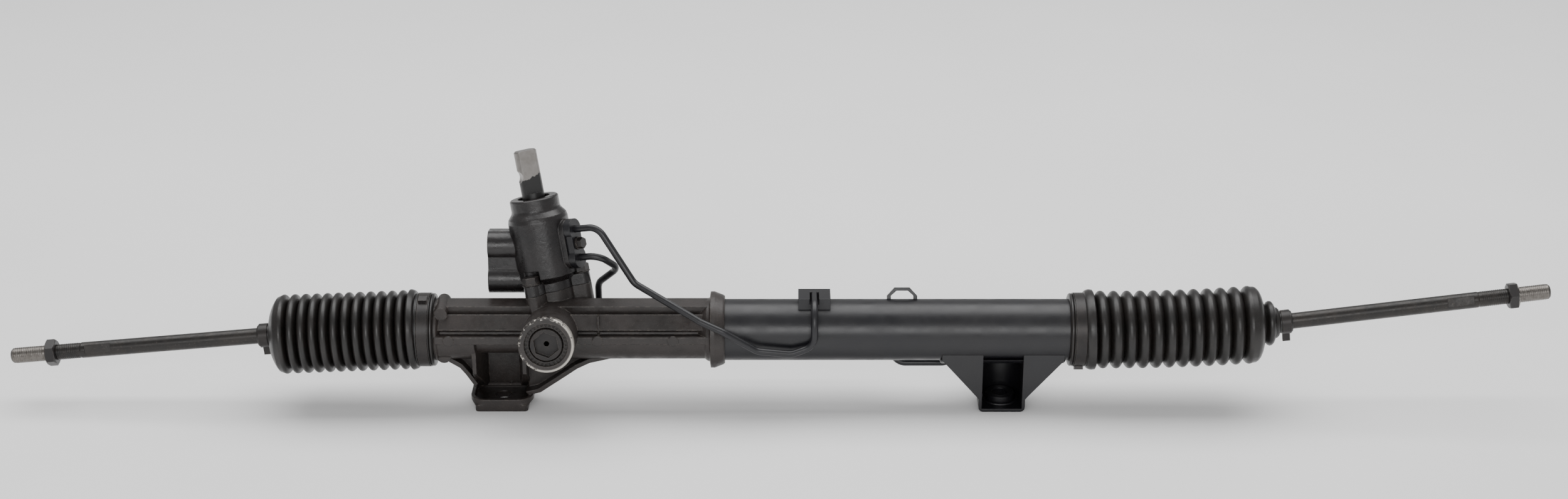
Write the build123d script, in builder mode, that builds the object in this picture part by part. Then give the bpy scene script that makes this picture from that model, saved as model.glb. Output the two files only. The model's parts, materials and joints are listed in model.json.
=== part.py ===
"""Hydraulic rack-and-pinion steering gear with inner tie rods.

Millimetres. +X runs along the rack towards the power cylinder, +Z is up, away
from the mounting seats, and -Y is the side that the rack yoke faces.  The
origin is the centre of the pinion-side mounting hole on the seat plane.
"""
import os
from math import acos, asin, atan, cos, degrees, pi, radians, sin, sqrt, tan

from build123d import *

os.makedirs("parts", exist_ok=True)

# ---------------------------------------------------------------- fits
run_fit = 0.05          # radial clearance of parts that slide or turn in each other
boot_fit = 0.10         # radial clearance of rubber on metal that moves under it
seat_gap = 0.30         # gap between pieces that only lie next to each other

# ---------------------------------------------------------------- rack
rack_height = 63.0      # rack axis above the seat plane
rack_diameter = 25.0
ball_span = 703.0       # between the two inner ball centres
left_ball_x = -131.0    # left ball centre, at rest
stroke_half = 72.0      # rack travel each way from the middle
rest_offset = 20.0      # how far right of the middle the rack stands at rest
tooth_module = 2.1      # normal module of rack and pinion
tooth_count = 7
pressure_angle = 25.0
profile_shift = 0.4
addendum = 0.85
dedendum = 1.05
backlash = 0.24
rack_stub_bore = 16.0   # socket stud bore in each rack end
rack_stub_depth = 26.0

# ---------------------------------------------------------------- pinion and yoke axes
pinion_x = 45.0         # where pinion and rack meet
yoke_x = 41.6           # where the yoke presses on the rack
shaft_lean = 9.7        # pinion axis leans this much towards -X
shaft_tilt = 13.0       # and this much towards +Y
pinion_face = 22.0
shaft_diameter = 18.0
shaft_flats = 12.5      # across the two flats of the input shaft
tower_top = 31.0        # parting face, along the pinion axis from the mesh point
sleeve_span = (36.0, 78.0)
needle_span = (sleeve_span[1] + 2.0, sleeve_span[1] + 14.0)
seal_span = (needle_span[1] + 2.0, needle_span[1] + 9.0)
neck_top = seal_span[1] + 5.0
neck_bottom = neck_top - 15.0
shaft_top = neck_top + 38.0

# ---------------------------------------------------------------- housing
barrel_radius = 23.3
barrel_bore = 29.0
barrel_left = -50.0
collar_start = 167.0
collar_end = 179.0
collar_diameter = 61.0
tube_seat_start = 168.5
spigot_left = -70.0
stop_face = -54.0         # the left socket stops against this face
spigot_bore = 40.0
tower_radius = 18.7
valve_radius = 24.0
valve_bore = 32.0
neck_radius = 19.5
pinion_bore = 24.0
lug_circle = 26.0
lug_width = 13.0
bolt_diameter = 8.0

# ---------------------------------------------------------------- mounting
mount_spacing = 400.0
mount_hole = 13.0
foot_half = 21.0
foot_depth = 40.5
foot_floor = 5.5
foot_height = 10.3
foot_corner = 3.0
rim_corner = 12.0
rim_wall = 3.0
rim_half = 25.0
bracket_half = 18.5
bracket_sheet = 2.5
collar_height = 7.8
collar_ring = 23.0

# ---------------------------------------------------------------- cylinder
tube_diameter = 49.0
tube_wall = 3.0
right_ball_x = left_ball_x + ball_span
tube_end = right_ball_x - 102.0
piston_middle = 339.0   # piston place with the rack in the middle
piston_length = 16.0
inner_seal_end = 241.0
inner_seal_length = 9.0
inner_seat_length = 18.0
end_bush_start = tube_end - 33.0
end_bush_length = 17.0
port_one_x = 250.0
port_two_x = tube_end - 43.0

# ---------------------------------------------------------------- yoke
yoke_diameter = 34.0
yoke_boss_diameter = 43.5
yoke_boss_length = 60.0
yoke_length = 24.0
plug_length = 15.0
plug_recess = 5.0
plug_hex = 18.0

# ---------------------------------------------------------------- ball joints and rods
ball_diameter = 26.0
seat_wall = 2.5
socket_diameter = 36.0
socket_base = 23.0      # ball centre to the socket face on the rack
mouth_angle = 60.0      # half angle of the socket's mouth
seat_angle = 57.0       # half angle of the seat's mouth
neck_diameter = 12.0
rod_diameter = 12.7
thread_diameter = 12.0
left_rod_drop = 5.1     # degrees below level, left rod outboard end
right_rod_rise = 7.3    # degrees above level, right rod outboard end
rod_length = 262.0
nut_across = 19.0
nut_height = 8.0
thread_mid_diameter = 11.0   # pitch cylinder, where nut and rod thread mesh
left_nut_at = 225.5     # ball centre to the nut's inner face
right_nut_at = 229.0
thread_start = 206.0
flats_at = (181.0, 202.0)
rod_flats = 10.6
washer_thickness = 1.5

# ---------------------------------------------------------------- boots
boot_radius = 31.5
boot_root_radius = 24.4
boot_wall = 1.4
boot_folds = 12
cuff_radius = 28.6
cuff_length = 17.0
boot_bead_radius = 32.0
boot_neck_radius = 8.7
boot_neck_length = 10.0
left_neck_at = 57.5     # ball centre to the middle of the boot's neck
right_neck_at = 53.5
left_cuff = -50.8       # cuff end that faces the housing
right_cuff = tube_end - 18.0
left_bead = -69.8
right_bead = tube_end - 0.5
left_fold_pitch = 8.63
right_fold_pitch = 10.6
small_clamp_width = 7.0
clamp_width = 8.5
clamp_thickness = 0.9

# ---------------------------------------------------------------- worked-out places
rack_radius = rack_diameter / 2
rack_left = left_ball_x + socket_base
rack_right = right_ball_x - socket_base
tube_radius = tube_diameter / 2
tube_bore_radius = tube_radius - tube_wall
cuff_bore = tube_radius
piston_x = piston_middle + rest_offset

lean = radians(shaft_lean)
tilt = radians(shaft_tilt)
x_axis = Vector(1, 0, 0)
rack_origin = Vector(0, 0, rack_height)
mesh_side = Vector(0, cos(tilt), -sin(tilt))        # from the rack towards the pinion
tooth_line = Vector(0, sin(tilt), cos(tilt))        # along the rack teeth
yoke_side = mesh_side * -1
pinion_dir = x_axis * -sin(lean) + tooth_line * cos(lean)
pinion_across = x_axis * cos(lean) + tooth_line * sin(lean)

pitch_radius = tooth_module * tooth_count / (2 * cos(lean))
transverse_module = tooth_module / cos(lean)
transverse_angle = atan(tan(radians(pressure_angle)) / cos(lean))
base_radius = pitch_radius * cos(transverse_angle)
tip_radius = pitch_radius + tooth_module * (addendum + profile_shift)
root_radius = pitch_radius - tooth_module * (dedendum - profile_shift)
tooth_pitch = pi * tooth_module
mesh_centres = 14.5                                  # rack axis to pinion axis
rack_reference = mesh_centres - pitch_radius - profile_shift * tooth_module
rack_tip = rack_reference + addendum * tooth_module
rack_root = rack_reference - dedendum * tooth_module
pinion_origin = rack_origin + x_axis * pinion_x + mesh_side * mesh_centres
yoke_origin = rack_origin + x_axis * yoke_x

rack_axis = Axis(rack_origin, x_axis)
pinion_axis = Axis(pinion_origin, pinion_dir)
yoke_axis = Axis(yoke_origin, yoke_side)


def section(origin, axial, radial):
    """Plane through a turning axis: local x runs along it, local y away from it."""
    return Plane(origin=origin, x_dir=axial, z_dir=axial.cross(radial))


def across(origin, axial, radial, at=0.0):
    """Plane square to an axis at a distance along it, local x along radial."""
    return Plane(origin=origin + axial * at, x_dir=radial, z_dir=axial)


def band(start, end, inner, outer):
    """A turned step: start to end along the axis, inner to outer away from it."""
    with Locations(((start + end) / 2, (inner + outer) / 2)):
        Rectangle(end - start, outer - inner)


rack_section = section(rack_origin, x_axis, Vector(0, 0, 1))
pinion_section = section(pinion_origin, pinion_dir, pinion_across)
yoke_section = section(yoke_origin, yoke_side, x_axis)

written = []


def finish(builder, name):
    """Label a finished piece and write its STEP file."""
    builder.part.label = name
    export_step(builder.part, f"parts/{name}.step")
    written.append(name)


# ================================================================ rack bar
tooth_first = pinion_x - (stroke_half - rest_offset) - 12
tooth_last = pinion_x + (stroke_half + rest_offset) + 12
teeth_left = int((pinion_x - tooth_first) / tooth_pitch)
teeth_right = int((tooth_last - pinion_x) / tooth_pitch)
flank_run = (rack_tip - rack_root) * tan(radians(pressure_angle))
space_reference = tooth_pitch / 2
space_tip = space_reference + 2 * (rack_tip - rack_reference) * tan(radians(pressure_angle))
space_root = space_tip - 2 * flank_run
tooth_plane = Plane(origin=rack_origin, x_dir=x_axis, z_dir=x_axis.cross(mesh_side))
piston_land = 1.2       # step on the rack that the piston butts against

with BuildPart() as rack_bar:
    with BuildSketch(rack_section):
        with BuildLine():
            Polyline(
                (rack_left, 0), (rack_left, rack_radius - 1), (rack_left + 1, rack_radius),
                (rack_right - 1, rack_radius), (rack_right, rack_radius - 1),
                (rack_right, 0), close=True,
            )
        make_face()
        for side in (-1, 1):
            at = piston_x + side * (piston_length / 2 + 0.6)
            with Locations((at, rack_radius)):
                Rectangle(1.2, 2 * piston_land, mode=Mode.SUBTRACT)
    revolve(axis=rack_axis)
    with BuildSketch(tooth_plane):
        with Locations(((tooth_first + tooth_last) / 2, rack_tip + rack_radius / 2)):
            Rectangle(tooth_last - tooth_first, rack_radius)
        for tooth in range(-teeth_left, teeth_right + 1):
            centre = pinion_x + tooth * tooth_pitch
            with BuildLine():
                Polyline(
                    (centre - space_tip / 2, rack_tip + 0.5), (centre - space_tip / 2, rack_tip),
                    (centre - space_root / 2, rack_root), (centre + space_root / 2, rack_root),
                    (centre + space_tip / 2, rack_tip), (centre + space_tip / 2, rack_tip + 0.5),
                    close=True,
                )
            make_face()
    extrude(amount=rack_radius + 1, both=True, mode=Mode.SUBTRACT)
    for end, way in ((rack_left, x_axis), (rack_right, x_axis * -1)):
        with BuildSketch(across(rack_origin + x_axis * end, way, Vector(0, 0, 1))):
            Circle(rack_stub_bore / 2)
        extrude(amount=rack_stub_depth, mode=Mode.SUBTRACT)
finish(rack_bar, "rack_bar")

with BuildPart() as piston:
    half = piston_length / 2
    with BuildSketch(rack_section):
        band(piston_x - half, piston_x + half, rack_radius, tube_bore_radius - 0.5)
        with Locations((piston_x, tube_bore_radius - 0.5)):
            Rectangle(4.0, 2 * 3.0, mode=Mode.SUBTRACT)
    revolve(axis=rack_axis)
finish(piston, "piston")

with BuildPart() as piston_ring:
    with BuildSketch(rack_section):
        band(piston_x - 1.9, piston_x + 1.9, tube_bore_radius - 3.4, tube_bore_radius - run_fit)
    revolve(axis=rack_axis)
finish(piston_ring, "piston_ring")

with BuildPart() as piston_clips:
    for side in (-1, 1):
        at = piston_x + side * (piston_length / 2 + 0.6)
        with BuildSketch(rack_section):
            band(at - 0.6, at + 0.6, rack_radius - piston_land, rack_radius + 1.0)
        revolve(axis=rack_axis)
finish(piston_clips, "piston_clips")

# ================================================================ pinion
half_thickness = (
    transverse_module * (pi / 2 + 2 * profile_shift * tan(transverse_angle)) - backlash
) / (2 * pitch_radius)
involute_pitch = tan(transverse_angle) - transverse_angle


def tooth_half_angle(radius):
    """Half the angle that one pinion tooth covers at a radius."""
    roll = acos(min(1.0, base_radius / radius))
    return half_thickness + involute_pitch - (tan(roll) - roll)


def pinion_outline(turn):
    """Corner points of the pinion's cross-section, turned by an angle."""
    flank = [base_radius, (base_radius + tip_radius) / 2, tip_radius]
    points = []
    for tooth in range(tooth_count):
        middle = turn + 2 * pi * tooth / tooth_count
        rising = [(root_radius, tooth_half_angle(base_radius) + 0.03)]
        rising += [(r, tooth_half_angle(r)) for r in flank]
        for r, a in rising:
            points.append((r * cos(middle - a), r * sin(middle - a)))
        for r, a in reversed(rising):
            points.append((r * cos(middle + a), r * sin(middle + a)))
    return points


pinion_steps = 4
helix_rate = tan(lean) / pitch_radius
lower_journal = 12.0
upper_journal = 20.0
pinion_foot = -22.0
lower_bearing = (-21.5, -12.5)
lower_bearing_outer = 18.0
upper_bearing = (16.5, 26.0)
upper_bearing_outer = 33.0
rotor_diameter = 20.0
ring_count = 4
ring_pitch = (sleeve_span[1] - sleeve_span[0]) / (ring_count + 1)
torsion_diameter = 8.5

with BuildPart() as pinion:
    for step in range(pinion_steps + 1):
        at = -pinion_face / 2 + pinion_face * step / pinion_steps
        with BuildSketch(across(pinion_origin, pinion_dir, mesh_side * -1, at)):
            with BuildLine():
                Polyline(*pinion_outline(at * helix_rate), close=True)
            make_face()
    loft(ruled=True)
    with BuildSketch(pinion_section):
        band(pinion_foot, -pinion_face / 2, 0, lower_journal / 2)
        band(pinion_face / 2, 14.0, 0, root_radius)
        band(14.0, 30.0, 0, upper_journal / 2)
        band(30.0, 33.5, 0, valve_bore / 2 - 1.2)
        band(33.5, 40.0, 0, rotor_diameter / 2 + 2.0)
    revolve(axis=pinion_axis)
    with BuildSketch(across(pinion_origin, pinion_dir, pinion_across, 40.0)):
        Circle(rotor_diameter / 2 + 0.2)
    extrude(amount=-8.0, mode=Mode.SUBTRACT)
    with BuildSketch(across(pinion_origin, pinion_dir, pinion_across, 40.0)):
        Circle(torsion_diameter / 2)
    extrude(amount=-30.0, mode=Mode.SUBTRACT)
finish(pinion, "pinion")

with BuildPart() as valve_sleeve:
    with BuildSketch(pinion_section):
        band(sleeve_span[0], sleeve_span[1], rotor_diameter / 2 + run_fit, valve_bore / 2 - 0.4)
        for groove in range(ring_count):
            with Locations((sleeve_span[0] + (groove + 1) * ring_pitch, valve_bore / 2 - 0.4)):
                Rectangle(2.4, 2 * 2.2, mode=Mode.SUBTRACT)
        with Locations((sleeve_span[0] + 2.0, rotor_diameter / 2 + 1.0)):
            Rectangle(4.2, 2.2, mode=Mode.SUBTRACT)
    revolve(axis=pinion_axis)
finish(valve_sleeve, "valve_sleeve")

with BuildPart() as sleeve_rings:
    for groove in range(ring_count):
        at = sleeve_span[0] + (groove + 1) * ring_pitch
        with BuildSketch(pinion_section):
            band(at - 1.1, at + 1.1, valve_bore / 2 - 2.4, valve_bore / 2 - run_fit)
        revolve(axis=pinion_axis)
finish(sleeve_rings, "sleeve_rings")

def bearing_half(span, inner, outer, groove_radius, outer_half):
    """One ring of a ball bearing, with its running groove, as a turned profile."""
    middle = (inner + outer) / 2
    reach = 0.32 * (outer - inner)
    if outer_half:
        band(span[0], span[1], middle + reach, outer)
    else:
        band(span[0], span[1], inner, middle - reach)
    with Locations(((span[0] + span[1]) / 2, middle)):
        Circle(groove_radius, mode=Mode.SUBTRACT)


upper_race = (upper_journal / 2, upper_bearing_outer / 2)
upper_groove = 0.32 * (upper_race[1] - upper_race[0]) / 2 + 1.0

with BuildPart() as pinion_bearing_outer:
    with BuildSketch(pinion_section):
        bearing_half(upper_bearing, upper_race[0], upper_race[1], upper_groove, True)
    revolve(axis=pinion_axis)
finish(pinion_bearing_outer, "pinion_bearing_outer")

with BuildPart() as pinion_bearing_inner:
    with BuildSketch(pinion_section):
        bearing_half(upper_bearing, upper_race[0], upper_race[1], upper_groove, False)
    revolve(axis=pinion_axis)
finish(pinion_bearing_inner, "pinion_bearing_inner")

with BuildPart() as lower_needle_bearing:
    with BuildSketch(pinion_section):
        band(lower_bearing[0], lower_bearing[1], lower_journal / 2 + run_fit, lower_bearing_outer / 2)
    revolve(axis=pinion_axis)
finish(lower_needle_bearing, "lower_needle_bearing")

# ================================================================ input shaft
pinch_at = neck_top + 18.0      # middle of the pinch-bolt notch along the shaft
pinch_radius = 5.5
flats_start = neck_top + 4.0

with BuildPart() as input_shaft:
    with BuildSketch(pinion_section):
        band(32.5, 35.5, 0, rotor_diameter / 2 - 1.0)
        band(35.5, sleeve_span[1] + 0.5, 0, rotor_diameter / 2)
        band(sleeve_span[1] + 0.5, shaft_top, 0, shaft_diameter / 2)
    revolve(axis=pinion_axis)
    chamfer(input_shaft.edges().filter_by(GeomType.CIRCLE).sort_by(pinion_axis)[-1], 1.0)
    flat_dir = (pinion_across * sin(radians(20)) + mesh_side * -cos(radians(20)))
    with BuildSketch(across(pinion_origin, pinion_dir, flat_dir, flats_start)):
        for side in (-1, 1):
            with Locations((side * (shaft_flats / 2 + shaft_diameter / 4), 0)):
                Rectangle(shaft_diameter / 2, shaft_diameter + 2)
    extrude(amount=shaft_top - flats_start + 1, mode=Mode.SUBTRACT)
    notch_dir = pinion_dir.cross(flat_dir)
    notch_centre = pinion_origin + pinion_dir * pinch_at + notch_dir * -(shaft_diameter / 2 + 3.0)
    with BuildSketch(Plane(origin=notch_centre, x_dir=pinion_dir, z_dir=flat_dir)):
        Circle(pinch_radius)
    extrude(amount=shaft_diameter, both=True, mode=Mode.SUBTRACT)
    with BuildSketch(across(pinion_origin, pinion_dir, pinion_across, 30.0)):
        Circle(torsion_diameter / 2 + 0.5)
    extrude(amount=sleeve_span[1] + 12.0 - 30.0, mode=Mode.SUBTRACT)
    with BuildSketch(across(pinion_origin, pinion_dir, pinion_across, sleeve_span[1] + 10.0)):
        Circle(torsion_diameter / 2)
    extrude(amount=22.0, mode=Mode.SUBTRACT)
finish(input_shaft, "input_shaft")

with BuildPart() as torsion_bar:
    with BuildSketch(pinion_section):
        band(11.0, 30.0, 0, torsion_diameter / 2 - run_fit)
        band(30.0, sleeve_span[1] + 12.0, 0, torsion_diameter / 2 - 1.2)
        band(sleeve_span[1] + 12.0, sleeve_span[1] + 31.5, 0, torsion_diameter / 2)
    revolve(axis=pinion_axis)
finish(torsion_bar, "torsion_bar")

# ================================================================ valve housing
port_face_x = -9.5
port_spacing = 27.0
port_lobe = 11.5
port_waist = 15.0
port_thread_radius = 7.25
port_thread_depth = 11.0
port_seat_radius = 5.6
port_seat_depth = 3.5    # below the thread
port_drill = 4.0
clamp_hole_radius = 3.4
clamp_hole_depth = 14.0
port_level = 53.0       # along the pinion axis, middle of the two hose ports
port_across = Vector(0, sin(tilt), cos(tilt))
port_middle = pinion_origin + pinion_dir * port_level
port_centre = Vector(port_face_x, port_middle.Y, port_middle.Z)
port_plane = Plane(origin=port_centre, x_dir=port_across, z_dir=x_axis * -1)
port_reach = port_middle.X - port_face_x

out_turn = radians(27)
out_level = 66.0
out_dir = (pinion_across * cos(out_turn) + yoke_side * sin(out_turn))
out_spacing = 23.0
out_reach = 27.0
out_lobe = 8.5
out_middle = pinion_origin + pinion_dir * out_level
out_centre = out_middle + out_dir * out_reach
out_plane = Plane(origin=out_centre, x_dir=pinion_dir, z_dir=out_dir)
plate_thickness = 6.0
plate_bolt = 6.0
plate_bolt_depth = 9.0
pipe_radius = 2.75
lug_start = -117.6
flange_thickness = 9.0
head_washer = 7.2        # flange radius of the bolt heads

valve_foot = across(pinion_origin, pinion_dir, x_axis - pinion_dir * x_axis.dot(pinion_dir), tower_top)

with BuildPart() as valve_housing:
    with BuildSketch(pinion_section):
        with BuildLine():
            Polyline(
                (tower_top, 0), (tower_top, tower_radius), (tower_top + 7, tower_radius),
                (tower_top + 12, valve_radius), (neck_bottom - 3, valve_radius),
                (neck_bottom, valve_radius - 0.8), (neck_bottom + 4, neck_radius + 0.6),
                (neck_bottom + 6, neck_radius), (neck_top - 1, neck_radius),
                (neck_top, neck_radius - 1), (neck_top, 0),
                close=True,
            )
        make_face()
    revolve(axis=pinion_axis)
    with BuildSketch(valve_foot):
        with PolarLocations(lug_circle / 2, 3, start_angle=lug_start):
            SlotCenterToCenter(lug_circle, lug_width)
    extrude(amount=flange_thickness)
    with BuildSketch(port_plane):
        with Locations((-port_spacing / 2, 0), (port_spacing / 2, 0)):
            Circle(port_lobe)
        Rectangle(port_spacing, port_waist)
        with Locations((port_spacing / 2 + 3, 4.5)):
            Rectangle(2 * port_lobe - 6, 2 * port_lobe - 9)
    extrude(amount=-port_reach)
    with BuildSketch(out_plane):
        with Locations((-out_spacing / 2, 0), (out_spacing / 2, 0)):
            Circle(out_lobe)
        Rectangle(out_spacing, 2 * out_lobe)
    extrude(amount=-out_reach)
    # flat parting face, and room for the bolt heads
    with BuildSketch(valve_foot):
        Rectangle(8 * valve_radius, 8 * valve_radius)
    extrude(amount=-80, mode=Mode.SUBTRACT)
    with BuildSketch(valve_foot.offset(flange_thickness)):
        with PolarLocations(lug_circle, 3, start_angle=lug_start):
            Circle(head_washer + seat_gap)
    extrude(amount=10.0, mode=Mode.SUBTRACT)
    # running bore of the valve, bearing and seal seats
    with BuildSketch(pinion_section):
        band(tower_top, sleeve_span[1] + 2.0, 0, valve_bore / 2)
        band(needle_span[0], needle_span[1], 0, shaft_diameter / 2 + 3.0)
        band(needle_span[1], neck_top, 0, shaft_diameter / 2 + 0.6)
        band(seal_span[0], neck_top, 0, 13.0)
    revolve(axis=pinion_axis, mode=Mode.SUBTRACT)
    # hose ports, their clamp screw, and the two outlet ports
    with BuildSketch(port_plane):
        with Locations((-port_spacing / 2, 0), (port_spacing / 2, 0)):
            Circle(port_thread_radius)
    extrude(amount=-port_thread_depth, mode=Mode.SUBTRACT)
    with BuildSketch(port_plane):
        with Locations((-port_spacing / 2, 0), (port_spacing / 2, 0)):
            Circle(port_seat_radius)
    extrude(amount=-port_thread_depth - port_seat_depth, mode=Mode.SUBTRACT)
    with BuildSketch(port_plane):
        with Locations((-port_spacing / 2, 0), (port_spacing / 2, 0)):
            Circle(port_drill)
    extrude(amount=-port_reach, mode=Mode.SUBTRACT)
    with BuildSketch(port_plane):
        Circle(clamp_hole_radius)
    extrude(amount=-clamp_hole_depth, mode=Mode.SUBTRACT)
    with BuildSketch(out_plane):
        with Locations((-out_spacing / 2, 0), (out_spacing / 2, 0)):
            Circle(pipe_radius + 1.0)
    extrude(amount=-out_reach, mode=Mode.SUBTRACT)
    with BuildSketch(out_plane):
        Circle(3.0)
    extrude(amount=-10.0, mode=Mode.SUBTRACT)
    with BuildSketch(valve_foot):
        with PolarLocations(lug_circle, 3, start_angle=lug_start):
            Circle(bolt_diameter / 2 + 0.4)
    extrude(amount=flange_thickness, mode=Mode.SUBTRACT)
finish(valve_housing, "valve_housing")

bolt_depth = 14.0
with BuildPart() as valve_bolts:
    for lug in range(3):
        angle = radians(lug_start + 120 * lug)
        centre = valve_foot.origin + valve_foot.x_dir * lug_circle * cos(angle)
        centre = centre + valve_foot.y_dir * lug_circle * sin(angle)
        with BuildSketch(across(centre, pinion_dir, pinion_across, -bolt_depth)):
            Circle(bolt_diameter / 2)
        extrude(amount=bolt_depth + flange_thickness)
        with BuildSketch(across(centre, pinion_dir, pinion_across, flange_thickness)):
            Circle(head_washer)
        extrude(amount=1.4)
        with BuildSketch(across(centre, pinion_dir, pinion_across, flange_thickness + 1.4)):
            RegularPolygon(6.0, 6, major_radius=False)
        extrude(amount=5.4)
finish(valve_bolts, "valve_bolts")

with BuildPart() as port_seats:
    with BuildSketch(port_plane.offset(-port_thread_depth - port_seat_depth)):
        with Locations((-port_spacing / 2, 0), (port_spacing / 2, 0)):
            Circle(port_seat_radius)
            Circle(port_drill - 0.8, mode=Mode.SUBTRACT)
    extrude(amount=port_seat_depth - seat_gap)
finish(port_seats, "port_seats")

with BuildPart() as shaft_seal:
    with BuildSketch(pinion_section):
        band(seal_span[0], seal_span[1], shaft_diameter / 2 + run_fit, 13.0)
        with Locations((seal_span[1], 11.0)):
            Rectangle(5.0, 1.4, mode=Mode.SUBTRACT)
    revolve(axis=pinion_axis)
finish(shaft_seal, "shaft_seal")

with BuildPart() as needle_bearing:
    with BuildSketch(pinion_section):
        band(needle_span[0], needle_span[1], shaft_diameter / 2 + run_fit, shaft_diameter / 2 + 3.0)
        with Locations(((needle_span[0] + needle_span[1]) / 2, shaft_diameter / 2 + 1.0)):
            Rectangle(8.0, 1.4, mode=Mode.SUBTRACT)
    revolve(axis=pinion_axis)
finish(needle_bearing, "needle_bearing")

# ================================================================ rack housing
rib_reach = 24.8        # front and back ribs, from the rack axis
rail_half = 8.4         # top rail, half width
rail_radius = 23.7
recess_radius = 18.6
pad_angle = 40.0
pad_height = 21.0
pad_half = 6.6
rib_thickness = 6.0
rib_level = 1.2
bush_radius = 15.8
bush_span = (-52.0, -36.0)
leg_half = 21.4
leg_front = -20.0
leg_back = 16.0
leg_knee = -30.0        # the leg's front edge slopes back below this level
pocket_front = 19.4
pocket_back = 12.5
pocket_depth = 13.0
web_thickness = 5.0
web_edge = 3.0
pad_radius = 4.3
pad_proud = 0.5

front_view = Plane(origin=rack_origin, x_dir=x_axis, z_dir=Vector(0, -1, 0))
end_view = Plane(origin=rack_origin, x_dir=Vector(0, 1, 0), z_dir=x_axis)
leg_foot = foot_height - rack_height


def barrel_outline():
    """Cross-section of the cast barrel: a tube with rails and pockets between them."""
    Circle(barrel_radius)
    for side in (-1, 1):
        Polygon(
            (0, 0),
            (side * 40 * cos(radians(6)), 40 * sin(radians(6))),
            (side * 40 * cos(radians(45)), 40 * sin(radians(45))),
            (side * rail_half, 40), (side * rail_half, 0),
            align=None, mode=Mode.SUBTRACT,
        )
    Circle(recess_radius)
    Rectangle(2 * rail_half, rail_radius, align=(Align.CENTER, Align.MIN))
    with Locations((0, rib_level)):
        Rectangle(2 * rib_reach, rib_thickness)
    for side in (-1, 1):
        reach = pad_height / 2
        with Locations((side * reach * cos(radians(pad_angle)), reach * sin(radians(pad_angle)))):
            Rectangle(pad_height, 2 * pad_half, rotation=side * pad_angle)


pocket_outline = [
    (-pocket_front, leg_front - 6), (pocket_front, leg_front - 6),
    (pocket_back, pocket_depth), (-pocket_back, pocket_depth),
]

left_web = [(-44.0, -20.0), (-40.5, -23.8), (-32.5, -28.8), (-27.5, -35.4), (-21.0, -46.0)]
right_web = [(21.0, -53.0), (31.0, -50.5), (51.0, -36.6), (61.0, -29.5), (71.0, -24.5), (88.0, -20.5)]

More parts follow.
